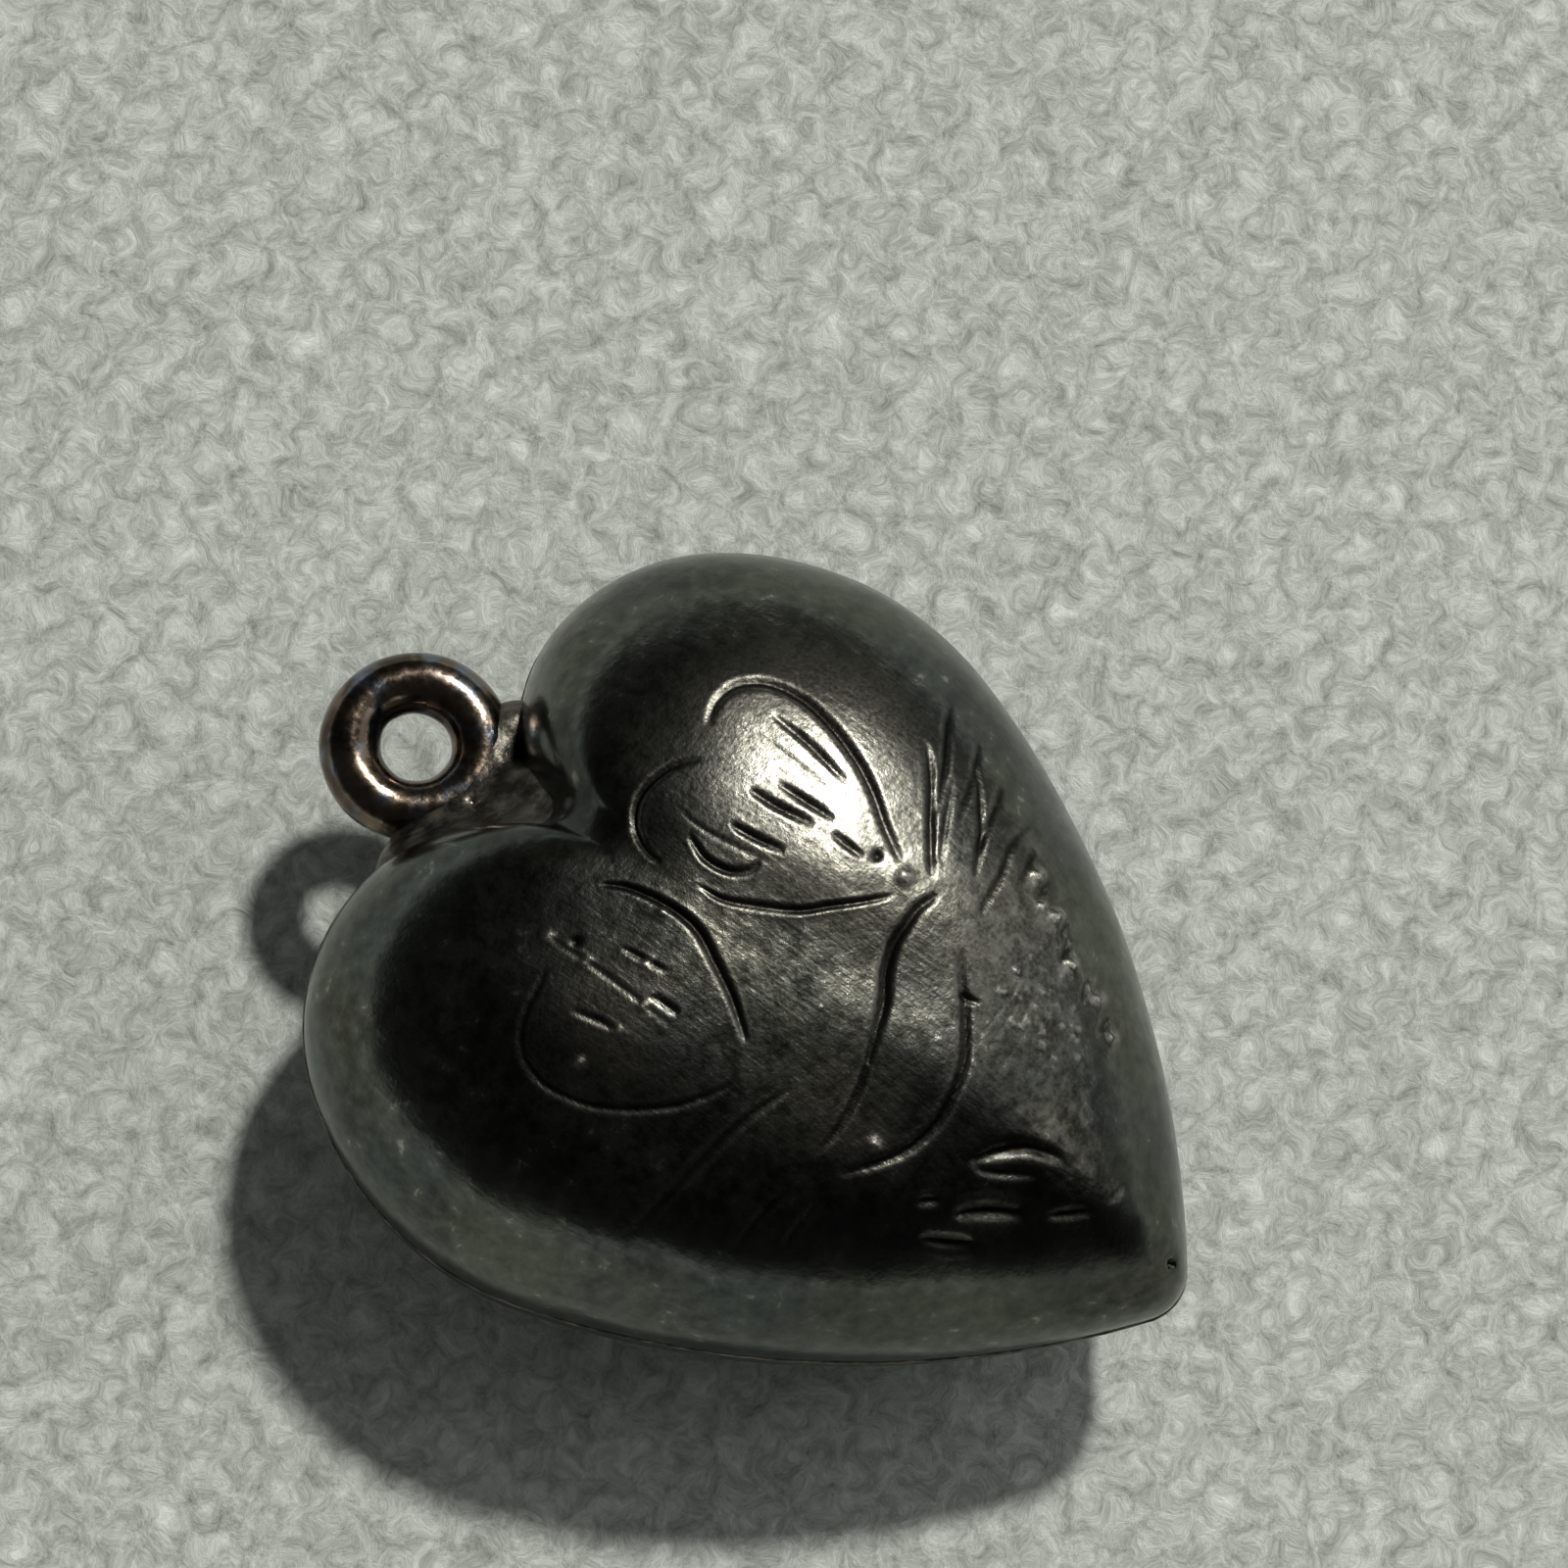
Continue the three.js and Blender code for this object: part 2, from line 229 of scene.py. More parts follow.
# Each cut: half its width, its depth, the height of the burr it throws up, the side
# the burr is on (0 is both), and the points it goes through, in mm.
CUTS = [
    # The left little heart.
    (0.055, 0.045, 0.016, 0, [(-2.3, 1.0), (-3.0, 0.85), (-3.45, 0.6), (-3.68, 0.1), (-3.6, -0.6),
                              (-3.3, -1.2), (-2.85, -1.75), (-2.45, -2.05), (-2.1, -2.25)]),
    (0.07, 0.07, 0.02, 0, [(-0.8, 1.15), (-0.6, 0.8), (-0.48, 0.2), (-0.5, -0.4), (-0.75, -0.95),
                           (-1.05, -1.5), (-1.45, -2.05)]),
    (0.04, 0.02, 0.012, 0, [(-1.9, 1.3), (-1.88, 0.5), (-1.9, -0.3), (-1.95, -1.0)]),
    (0.05, 0.05, 0.01, 0, [(-1.72, -0.5), (-1.72, -0.75), (-1.72, -1.0)]),
    (0.045, 0.035, 0.02, 0, [(-2.6, 0.35), (-2.5, -0.1), (-2.45, -0.45)]),
    (0.045, 0.035, 0.02, 0, [(-1.4, 0.3), (-1.35, -0.1), (-1.3, -0.5)]),
    # The right little heart.
    (0.06, 0.06, 0.022, 0, [(0.0, 0.6), (0.05, 0.9), (0.25, 1.25), (0.6, 1.45), (1.0, 1.45),
                            (1.4, 1.3), (1.7, 1.05)]),
    (0.055, 0.05, 0.022, 0, [(0.05, -0.1), (0.1, -0.5), (0.35, -1.0), (0.65, -1.5), (1.0, -1.85),
                             (1.35, -2.2), (1.7, -2.5)]),
    (0.08, 0.085, 0.026, 0, [(2.2, 1.3), (2.6, 1.4), (3.0, 1.3), (3.3, 0.95), (3.4, 0.4),
                             (3.3, -0.2), (3.1, -0.8), (2.85, -1.3), (2.5, -1.8), (2.2, -2.3)]),
    (0.06, 0.05, 0.02, 0, [(0.6, 0.5), (0.45, 0.1), (0.5, -0.3), (0.7, -0.55), (0.9, -0.6)]),
    (0.06, 0.06, 0.025, 0, [(1.1, 0.1), (1.15, -0.3), (1.25, -0.8)]),
    (0.065, 0.06, 0.028, 0, [(1.72, 0.2), (1.75, -0.3), (1.85, -0.9)]),
    (0.06, 0.06, 0.028, 0, [(2.05, -0.1), (2.08, -0.6), (2.1, -1.1)]),
    (0.06, 0.055, 0.026, 0, [(2.9, 0.6), (2.85, -0.1), (2.7, -0.9)]),
    (0.055, 0.05, 0.02, 0, [(1.9, -1.2), (1.9, -1.5), (1.9, -1.8)]),
    # Fainter strokes that shade it.
    (0.045, 0.014, 0.004, 0, [(0.85, 0.9), (0.8, 0.3), (1.0, -0.9)]),
    (0.045, 0.014, 0.004, 0, [(2.4, 0.9), (2.5, 0.2), (2.4, -0.9)]),
    # The spray of leaves on the right.
    (0.065, 0.065, 0.024, 0, [(2.3, -2.8), (3.0, -2.3), (3.6, -1.9), (4.1, -1.45)]),
    (0.065, 0.06, 0.024, 0, [(3.2, -2.3), (4.0, -1.9), (4.6, -1.55), (5.0, -1.4)]),
    (0.05, 0.04, 0.03, 1, [(2.6, -2.75), (3.3, -2.4), (3.9, -2.1)]),
    (0.06, 0.055, 0.022, 0, [(2.75, -3.3), (3.3, -3.05), (3.8, -2.7), (4.3, -2.3)]),
    (0.05, 0.045, 0.02, 0, [(3.3, -2.6), (4.0, -2.4), (4.7, -2.1)]),
    (0.055, 0.05, 0.02, 0, [(3.0, -3.1), (3.6, -3.0), (4.3, -2.8)]),
    (0.06, 0.05, 0.022, 0, [(2.3, -3.7), (3.1, -3.6), (3.6, -3.45), (4.1, -3.5)]),
    # The fringe down the right edge.
    (0.05, 0.035, 0.02, 0, [(3.2, -3.9), (3.8, -3.75)]),
    (0.05, 0.035, 0.02, 0, [(3.0, -4.3), (3.6, -4.2)]),
    (0.05, 0.035, 0.02, 0, [(2.9, -4.9), (3.3, -4.75)]),
    (0.05, 0.035, 0.02, 0, [(2.6, -5.1), (3.0, -5.0)]),
    (0.05, 0.035, 0.02, 0, [(2.3, -5.7), (2.7, -5.6)]),
    (0.05, 0.035, 0.02, 0, [(2.1, -6.2), (2.5, -6.15)]),
    # The ribbon below the two little hearts.
    (0.085, 0.09, 0.024, -1, [(2.15, -3.02), (1.8, -2.92), (1.5, -2.92), (1.1, -2.95), (0.7, -3.1),
                              (0.3, -3.35), (-0.1, -3.5), (-0.6, -3.7)]),
    (0.055, 0.05, 0.016, 0, [(-0.3, -3.58), (-0.7, -3.73), (-1.1, -3.85), (-1.6, -3.92), (-2.1, -3.9)]),
    (0.07, 0.075, 0.02, 0, [(1.7, -3.8), (1.3, -4.1), (1.1, -4.3), (0.7, -4.6), (0.3, -4.85),
                            (-0.2, -5.0), (-0.7, -5.05), (-1.2, -4.95), (-1.6, -4.75), (-1.95, -4.5),
                            (-2.15, -4.35)]),
    (0.05, 0.05, 0.01, 0, [(1.15, -4.2), (1.15, -4.35), (1.2, -4.5)]),
    # The faint spray on the left.
    (0.06, 0.03, 0.016, 0, [(-1.6, -3.0), (-2.3, -2.75), (-3.0, -2.6), (-4.0, -2.45), (-4.7, -2.3)]),
    (0.055, 0.03, 0.014, 0, [(-3.9, -3.75), (-3.4, -3.75), (-2.75, -3.85)]),
    (0.05, 0.028, 0.014, 0, [(-3.5, -4.3), (-3.0, -4.3), (-2.6, -4.35)]),
    # The petals near the tip.
    (0.09, 0.08, 0.035, 0, [(-2.1, -5.85), (-1.9, -6.2), (-1.65, -6.55)]),
    (0.11, 0.095, 0.035, 0, [(-1.55, -6.05), (-1.2, -6.4), (-0.85, -6.9)]),
    (0.06, 0.055, 0.025, 0, [(-1.75, -5.5), (-1.62, -5.62), (-1.5, -5.75)]),
    (0.1, 0.09, 0.035, -1, [(-0.8, -5.8), (-0.4, -6.05), (-0.05, -6.4), (0.15, -6.9)]),
    (0.06, 0.045, 0.035, -1, [(-0.85, -5.9), (-0.6, -6.3), (-0.3, -6.7)]),
    (0.08, 0.07, 0.035, -1, [(-0.65, -7.2), (-0.4, -7.45), (-0.15, -7.7)]),
    (0.06, 0.03, 0.025, 0, [(0.1, -7.8), (0.3, -7.83), (0.5, -7.85)]),
]

# The hatched ground between the ribbon and the tip, light strokes of a liner, this far
# apart in mm. Their left ends step in and out, and their right ends draw in.
HATCHES = 12
HATCH_APART = 0.17
HATCH_STEP = 0.25
HATCH_DRAW_IN = 0.12
HATCH_CUTS = [
    (0.03, 0.014, 0.006, 0, [(0.1 + HATCH_STEP * (k % 3), -4.85 - HATCH_APART * k),
                             (2.4 - HATCH_DRAW_IN * k, -4.75 - HATCH_APART * k)])
    for k in range(HATCHES)
]

# Beads: the radius and height of each raised dot, and its place. A height below
# nothing is a punched dot.
BEADS = [
    (0.09, 0.04, (-3.17, -0.22)), (0.07, 0.025, (-2.45, -0.4)), (0.07, 0.025, (-1.35, -0.15)),
    (0.07, 0.025, (-0.6, 0.12)), (0.08, 0.03, (-1.9, 1.3)), (0.07, 0.025, (-1.88, 0.6)),
    (0.07, 0.025, (-1.92, -0.5)), (0.12, 0.05, (2.05, -2.45)), (0.11, 0.035, (-1.5, -4.5)),
    (0.13, 0.085, (3.5, -4.05)), (0.11, 0.06, (3.12, -4.35)), (0.16, 0.1, (3.15, -4.65)),
    (0.13, 0.08, (2.7, -5.25)), (0.11, 0.06, (2.6, -5.9)), (0.1, 0.05, (2.25, -6.4)),
    (0.07, -0.05, (-1.72, 0.9)), (0.08, -0.05, (2.05, -1.95)),
]

# Fine stippling beside the fringe, scattered between two corners.
STIPPLE_SEED = 4
STIPPLE_DOTS = 46
STIPPLE_RADIUS = 0.055
STIPPLE_HEIGHT = 0.018
STIPPLE = np.random.default_rng(STIPPLE_SEED).uniform((1.2, -6.3), (2.8, -4.6), (STIPPLE_DOTS, 2))
BEADS += [(STIPPLE_RADIUS, STIPPLE_HEIGHT, tuple(spot)) for spot in STIPPLE]

# Places where the sheet is a little out of true: radius, height and centre.
DENTS = [
    (0.5, -0.07, (-5.2, -3.05)), (2.0, 0.10, (2.4, -0.1)), (1.9, 0.06, (-2.5, 0.3)),
    (1.3, -0.07, (-0.1, 1.1)), (1.6, -0.035, (-0.3, -3.4)), (0.9, 0.02, (2.4, -3.2)),
]

# Where handling has rubbed the film thin: radius, how far, and centre. The strong pale patch on the right
# lobe is also a painted highlight, where the lamp's reflection falls.
WORN_AND_PAINTED_HIGHLIGHT = [(1.4, 0.75, (2.6, -0.4)), (1.5, 0.06, (-2.4, 0.2)), (1.8, 0.16, (2.2, -4.4))]

# Darker places: radius, how far, and centre. In the cleft the film is thick where no cloth reaches, and
# the darkening there is also painted shade; at the tip it is painted shade; low on the left it is simply
# darker.
FILM_AND_PAINTED_SHADE = [(0.9, 0.6, (0.0, 2.4)), (1.3, 0.5, (-0.5, -7.8)), (2.2, 0.3, (-3.2, -5.2))]

# The sheet's own unevenness: the height of its waves in mm, and for each wave its
# radians per mm along x and y and where it starts.
WAVE_HEIGHT = 0.009
WAVES = [(2.1, 1.3, 0.4), (1.2, -2.6, 2.0), (3.1, 0.5, 4.0)]

# The relief fades out over this last share of the way to the rim.
RIM_FADE = 0.04

# How far the surface has turned from level, as one less the upward part of its normal,
# where the sides' smoother finish and their painted reflection of the pale floor begin, and how much
# further it takes to be complete.
SIDE_STARTS = 0.1
SIDE_CHANGE = 0.14


def chased(x, y):
    """The engraver's work at each spot: its height in mm, how far it is cut, from 0 to 1,
    and how far a burr stands up to be rubbed bright, from 0 to 1.

    A cut's depth falls off as a bell curve across it, and as half an ellipse along it,
    so that it tapers at both ends. Its burr, mostly rubbed away, is a narrower bell curve
    on one side of its middle or on both. A bead is a bell curve about its centre.
    """
    spots = np.stack([x.ravel(), y.ravel()], axis=1)
    height, cut, burr = np.zeros(len(spots)), np.zeros(len(spots)), np.zeros(len(spots))
    for half_width, depth, lip, lip_side, points in CUTS + HATCH_CUTS:
        line = curve_through(points)
        room = CUT_REACH * half_width
        near = ((spots > line.min(0) - room) & (spots < line.max(0) + room)).all(axis=1)
        away, along, side = beside_line(spots[near], line)
        taper = np.sqrt(np.clip(4 * along * (1 - along), 0, 1))
        width = half_width * (CUT_END_WIDTH + CUT_SWELL * taper)
        groove = taper * np.exp(-((away / width) ** 2))
        ridge = taper * np.exp(-(((away - BURR_AWAY * width) / (BURR_WIDTH * width)) ** 2))
        ridge *= 1.0 if lip_side == 0 else 0.5 + 0.5 * side * lip_side
        height[near] += BURR_LEFT * lip * ridge - CUT_DEPTH_SHARE * depth * groove
        cut[near] = np.maximum(cut[near], groove * min(1.0, depth / BLACK_CUT))
        burr[near] = np.maximum(burr[near], BURR_LEFT * ridge * min(1.0, lip / BRIGHT_BURR))
    for radius, rise, place in BEADS:
        bell = np.exp(-(((spots - place) ** 2).sum(1) / radius**2))
        height += rise * bell
        burr = np.maximum(burr, bell * np.clip(rise / BRIGHT_BEAD, 0, 1))
        cut = np.maximum(cut, bell * np.clip(-rise / BLACK_DOT, 0, 1))
    for radius, rise, place in DENTS:
        height += rise * np.exp(-(((spots - place) ** 2).sum(1) / radius**2))
    return height.reshape(x.shape), cut.reshape(x.shape), burr.reshape(x.shape)


def waves(x, y):
    """The height in mm of the sheet's own unevenness: the sum of three crossing sine
    waves, each two to two and a half mm long."""
    return WAVE_HEIGHT * sum(np.sin(along * x + up * y + start) for along, up, start in WAVES)


def bells(places, x, y):
    """The sum of bell curves, each listed as its radius, its height and its centre."""
    return sum(height * np.exp(-((x - centre_x) ** 2 + (y - centre_y) ** 2) / radius**2)
               for radius, height, (centre_x, centre_y) in places)


def steepness(dome):
    """How far each point of a dome is on its steep side, from 0 on the face to 1: one less
    the upward part of its normal, scaled from where the sides' smoother finish and painted
    reflection of the pale floor begin to where they are complete."""
    return np.clip((1 - grid_normals(dome)[..., 2] - SIDE_STARTS) / SIDE_CHANGE, 0, 1)


def closed_grid_faces(rows, columns, first=0, flip=False):
    """Quads between the rows of a grid whose columns close on themselves."""
    row, column = np.meshgrid(np.arange(rows - 1), np.arange(columns), indexing="ij")
    after = (column + 1) % columns
    corners = [row * columns + column, (row + 1) * columns + column,
               (row + 1) * columns + after, row * columns + after]
    quads = np.stack(corners[::-1] if flip else corners, axis=-1).reshape(-1, 4)
    return quads + first


def fan_faces(pole, first, columns, flip=False):
    """Triangles from a pole to the row of points round it."""
    column = np.arange(columns)
    after = (column + 1) % columns
    corners = [np.full(columns, pole), first + column, first + after]
    return np.stack(corners[::-1] if flip else corners, axis=-1)


def make_piece(name, points_mm, face_sets, material, **attributes):
    """A smooth mesh object at the origin, from points in mm and arrays of faces, with its
    attributes as one number for each point."""
    mesh = bpy.data.meshes.new(name)
    corners = np.concatenate([faces.ravel() for faces in face_sets])
    sizes = np.concatenate([np.full(len(faces), faces.shape[1]) for faces in face_sets])
    mesh.vertices.add(len(points_mm))
    mesh.vertices.foreach_set("co", (points_mm * MM).astype(np.float32).ravel())
    mesh.loops.add(len(corners))
    mesh.loops.foreach_set("vertex_index", corners.astype(np.int32))
    mesh.polygons.add(len(sizes))
    mesh.polygons.foreach_set("loop_start", (np.cumsum(sizes) - sizes).astype(np.int32))
    mesh.polygons.foreach_set("use_smooth", np.ones(len(sizes), bool))
    mesh.update(calc_edges=True)
    for label, values in attributes.items():
        layer = mesh.attributes.new(label, "FLOAT", "POINT")
        layer.data.foreach_set("value", values.astype(np.float32).ravel())
    mesh.set_sharp_from_angle(angle=SHARP_FROM)
    mesh.materials.append(material)
    piece = bpy.data.objects.new(name, mesh)
    bpy.context.scene.collection.objects.link(piece)
    return piece


def colour(hex_value):
    """An sRGB hex colour as linear red, green, blue and 1."""
    srgb = np.array([int(hex_value[k:k + 2], 16) for k in (1, 3, 5)]) / 255
    linear = np.where(srgb <= 0.04045, srgb / 12.92, ((srgb + 0.055) / 1.055) ** 2.4)
    return (*linear.tolist(), 1.0)


def add(tree, kind, settings=None, values=None, links=None):
    """Adds a node, with its settings, its sockets' values and the links into it. A colour
    Mix node's sockets are 0, the share, and 6 and 7, its colours, and it gives output 2."""
    node = tree.nodes.new(kind)
    for label, value in (settings or {}).items():
        setattr(node, label, value)
    for socket, value in (values or {}).items():
        node.inputs[socket].default_value = value
    for socket, source in (links or {}).items():
        tree.links.new(source, node.inputs[socket])
    return node


def per_mm(size):
    """A texture's scale for features of this size in mm, on coordinates in metres."""
    return 1 / (size * MM)


def blank_material(name):
    """A new material with an empty tree, and its output node."""
    material = bpy.data.materials.new(name)
    material.use_nodes = True
    material.node_tree.nodes.clear()
    return material, material.node_tree, add(material.node_tree, "ShaderNodeOutputMaterial")


CUT_BLACK = "#141210"
CLOUD_TINT = "#c4ccd2"
POLISH_HEADING = 0.9
POLISH_STRETCH = 0.06
GRAIN_RELIEF = 0.2
POLISH_RELIEF = 0.3
FACE_ROUGHNESS_SPREAD = 0.07


def oxidised_silver(name, dark, grey, green, blue, bright, roughness, side_roughness):
    """Sterling silver blackened with liver of sulphur and worn by handling: a dull,
    mottled grey film, nearly black in the cuts, and rubbed through to pale metal on the
    burrs, on the worn crowns and in small specks. The steep sides are smoother, and their
    paler green and blue colour is a painted reflection of the pale floor. The pale crown
    of the right lobe is partly wear and partly a painted highlight. The darkening at the
    vent and the tip is painted shade, and in the cleft it is thick film and painted shade.
    The mottling is 0.3 mm across, in clouds of 1.6 mm. The grain and the polishing marks
    are really finer, and are drawn 0.07 and 0.09 mm wide to show."""
    material, tree, output = blank_material(name)
    place = add(tree, "ShaderNodeTexCoord").outputs["Object"]
    engraved = add(tree, "ShaderNodeAttribute", {"attribute_name": "engraved"}).outputs["Fac"]
    rubbed = add(tree, "ShaderNodeAttribute", {"attribute_name": "rubbed"}).outputs["Fac"]
    side = add(tree, "ShaderNodeAttribute", {"attribute_name": "side"}).outputs["Fac"]
    clouds = add(tree, "ShaderNodeTexNoise", values={"Scale": per_mm(1.6), "Detail": 3.0},
                 links={"Vector": place})
    mottle = add(tree, "ShaderNodeTexNoise",
                 values={"Scale": per_mm(0.3), "Detail": 5.0, "Roughness": 0.65}, links={"Vector": place})
    grain = add(tree, "ShaderNodeTexNoise", values={"Scale": per_mm(0.07), "Detail": 3.0},
                links={"Vector": place})
    along = add(tree, "ShaderNodeMapping",
                values={"Rotation": (0.0, 0.0, POLISH_HEADING), "Scale": (1.0, POLISH_STRETCH, 1.0)},
                links={"Vector": place})
    scratch = add(tree, "ShaderNodeTexNoise", values={"Scale": per_mm(0.09), "Detail": 2.0},
                  links={"Vector": along.outputs[0]})
    patchy = add(tree, "ShaderNodeMapRange", {"interpolation_type": "SMOOTHSTEP"},
                 {"From Min": 0.36, "From Max": 0.66}, {"Value": mottle.outputs[0]})
    cloudy = add(tree, "ShaderNodeMapRange", {"interpolation_type": "SMOOTHSTEP"},
                 {"From Min": 0.38, "From Max": 0.64}, {"Value": clouds.outputs[0]})
    film = add(tree, "ShaderNodeMix", {"data_type": "RGBA"}, {6: colour(dark), 7: colour(grey)},
               {0: patchy.outputs[0]})
    tint = add(tree, "ShaderNodeMix", {"data_type": "RGBA", "blend_type": "MULTIPLY"},
               {6: (1, 1, 1, 1), 7: colour(CLOUD_TINT)}, {0: cloudy.outputs[0]})
    tinted = add(tree, "ShaderNodeMix", {"data_type": "RGBA", "blend_type": "MULTIPLY"}, {0: 1.0},
                 {6: film.outputs[2], 7: tint.outputs[2]})
    # The steep sides get a paler green and blue colour, a painted reflection of the pale floor, with a
    # ragged edge; the same share also makes them smoother.
    thin = add(tree, "ShaderNodeMapRange", {},
               {"From Min": 0.3, "From Max": 0.62, "To Min": 0.45, "To Max": 1.0},
               {"Value": clouds.outputs[0]})
    ragged_side_share = add(tree, "ShaderNodeMath", {"operation": "MULTIPLY"}, {}, {0: side, 1: thin.outputs[0]})
    hues = add(tree, "ShaderNodeTexNoise", {"noise_dimensions": "4D"},
               {"Scale": per_mm(2.4), "Detail": 2.0, "W": 5.0}, {"Vector": place})
    blued = add(tree, "ShaderNodeMapRange", {"interpolation_type": "SMOOTHSTEP"},
                {"From Min": 0.42, "From Max": 0.6}, {"Value": hues.outputs[0]})
    side_painted_reflection = add(tree, "ShaderNodeMix", {"data_type": "RGBA"}, {6: colour(green), 7: colour(blue)},
                    {0: blued.outputs[0]})
    streak = add(tree, "ShaderNodeMapRange", {},
                 {"From Min": 0.35, "From Max": 0.65, "To Min": 0.66, "To Max": 1.14},
                 {"Value": mottle.outputs[0]})
    streaked = add(tree, "ShaderNodeVectorMath", {"operation": "SCALE"}, {},
                   {"Vector": side_painted_reflection.outputs[2], "Scale": streak.outputs[0]})
    sided = add(tree, "ShaderNodeMix", {"data_type": "RGBA"}, {},
                {0: ragged_side_share.outputs[0], 6: tinted.outputs[2], 7: streaked.outputs[0]})
    specks = add(tree, "ShaderNodeMapRange", {"interpolation_type": "SMOOTHSTEP"},
                 {"From Min": 0.62, "From Max": 0.74, "To Max": 0.7}, {"Value": mottle.outputs[0]})
    grainy = add(tree, "ShaderNodeMapRange", {}, {"From Min": 0.35, "From Max": 0.65, "To Min": 0.25},
                 {"Value": grain.outputs[0]})
    # The rubbed share is wear, and on the right lobe also a painted highlight.
    worn = add(tree, "ShaderNodeMath", {"operation": "MULTIPLY"}, {}, {0: rubbed, 1: grainy.outputs[0]})
    both = add(tree, "ShaderNodeMath", {"operation": "MAXIMUM"}, {},
               {0: worn.outputs[0], 1: specks.outputs[0]})
    silvered = add(tree, "ShaderNodeMix", {"data_type": "RGBA"}, {7: colour(bright)},
                   {0: both.outputs[0], 6: sided.outputs[2]})
    # The engraved share is black patina in the cuts, and painted shade at the vent, the tip and the cleft.
    blackened = add(tree, "ShaderNodeMix", {"data_type": "RGBA"}, {7: colour(CUT_BLACK)},
                    {0: engraved, 6: silvered.outputs[2]})
    dulled = add(tree, "ShaderNodeMapRange", {},
                 {"From Min": 0.3, "From Max": 0.7, "To Min": roughness + FACE_ROUGHNESS_SPREAD,
                  "To Max": roughness - FACE_ROUGHNESS_SPREAD}, {"Value": mottle.outputs[0]})
    side_rough = add(tree, "ShaderNodeMapRange", {},
                     {"From Min": 0.35, "From Max": 0.65, "To Min": side_roughness - 0.04,
                      "To Max": side_roughness + 0.09}, {"Value": clouds.outputs[0]})
    rough = add(tree, "ShaderNodeMix", {"data_type": "FLOAT"}, {},
                {0: ragged_side_share.outputs[0], 2: dulled.outputs[0], 3: side_rough.outputs[0]})
    relief = add(tree, "ShaderNodeMath", {"operation": "MULTIPLY_ADD"}, {1: GRAIN_RELIEF},
                 {0: grain.outputs[0], 2: mottle.outputs[0]})
    scored = add(tree, "ShaderNodeMath", {"operation": "MULTIPLY_ADD"}, {1: POLISH_RELIEF},
                 {0: scratch.outputs[0], 2: relief.outputs[0]})
    calm = add(tree, "ShaderNodeMapRange", {}, {"To Min": 1.0, "To Max": 0.4}, {"Value": side})
    bump = add(tree, "ShaderNodeBump", values={"Distance": 0.014 * MM},
               links={"Height": scored.outputs[0], "Strength": calm.outputs[0]})
    shader = add(tree, "ShaderNodeBsdfPrincipled", values={"Metallic": 1.0},
                 links={"Base Color": blackened.outputs[2], "Roughness": rough.outputs[0],
                        "Normal": bump.outputs[0]})
    tree.links.new(shader.outputs[0], output.inputs["Surface"])
    return material


seam_low, seam_high = (corner.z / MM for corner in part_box("seam_solder"))
shell_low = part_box("front_shell")[0]
edge, edge_normal = heart_outline(SHELL_COLUMNS)
HEART_SHIFT = np.array([0.0, shell_low.y / MM - edge[:, 1].min()])

share, level = dome_rows(DOME_HEIGHT, SHELL_ROWS)
outer = puffed(edge, share, level)
plain_dome = outer.copy()
rise, cut, burr = chased(outer[..., 0], outer[..., 1])
rise += waves(outer[..., 0], outer[..., 1])
fade = np.clip((1 - share) / RIM_FADE, 0, 1)[:, None]
vent_share = np.sin(VENT_DOWN_THE_DOME * np.pi / 2) ** (2 / DOME_ROUNDNESS)
vent_row = outer[np.abs(share - vent_share).argmin()]
vent_gap = np.hypot(vent_row[:, 0] - VENT_OFF_AXIS, np.clip(vent_row[:, 1], 0, None))
vent_place = vent_row[vent_gap.argmin()]
from_vent = np.linalg.norm(outer - vent_place, axis=2)
pierced = np.exp(-((from_vent / VENT_RADIUS) ** VENT_SQUARENESS))
rise = rise * fade - VENT_DEPTH * pierced
# The vent is painted black: painted shade standing in for the dark inside of the hole.
cut = np.maximum(cut, pierced)
outer += grid_normals(outer) * rise[..., None]
# The worn crowns are brightened; the right lobe's patch is partly a painted highlight.
burr = np.maximum(burr, bells(WORN_AND_PAINTED_HIGHLIGHT, outer[..., 0], outer[..., 1]))
# Painted shade at the tip and the cleft, with real thick film in the cleft, is added to the black of the
# cuts.
cut = np.maximum(cut, bells(FILM_AND_PAINTED_SHADE, outer[..., 0], outer[..., 1]))
crown_rise = chased(np.zeros(1), np.full(1, DOME_CENTRE_Y))[0] + waves(0.0, DOME_CENTRE_Y)

inner_share, inner_level = dome_rows(DOME_HEIGHT - WALL, INNER_ROWS)
inner = puffed(edge - WALL * edge_normal, inner_share, inner_level)[::-1]
crown = np.array([[0.0, DOME_CENTRE_Y, DOME_HEIGHT + crown_rise[0]],
                  [0.0, DOME_CENTRE_Y, DOME_HEIGHT - WALL]])
shell_points = np.vstack([outer.reshape(-1, 3), inner.reshape(-1, 3), crown])
shell_points += [0.0, HEART_SHIFT[1], seam_high]
all_rows = SHELL_ROWS + INNER_ROWS
inner_first = (all_rows - 1) * SHELL_COLUMNS
shell_faces = [
    closed_grid_faces(all_rows, SHELL_COLUMNS),
    fan_faces(all_rows * SHELL_COLUMNS, 0, SHELL_COLUMNS),
    fan_faces(all_rows * SHELL_COLUMNS + 1, inner_first, SHELL_COLUMNS, flip=True),
]
unseen = np.zeros(INNER_ROWS * SHELL_COLUMNS + 2)
steep = steepness(plain_dome)
# Its green and blue are the steep sides' painted reflection of the pale floor.
silver = oxidised_silver("oxidised silver", dark="#252520", grey="#595850", green="#65685f",
                         blue="#5a605d", bright="#b0ada2", roughness=0.33, side_roughness=0.15)
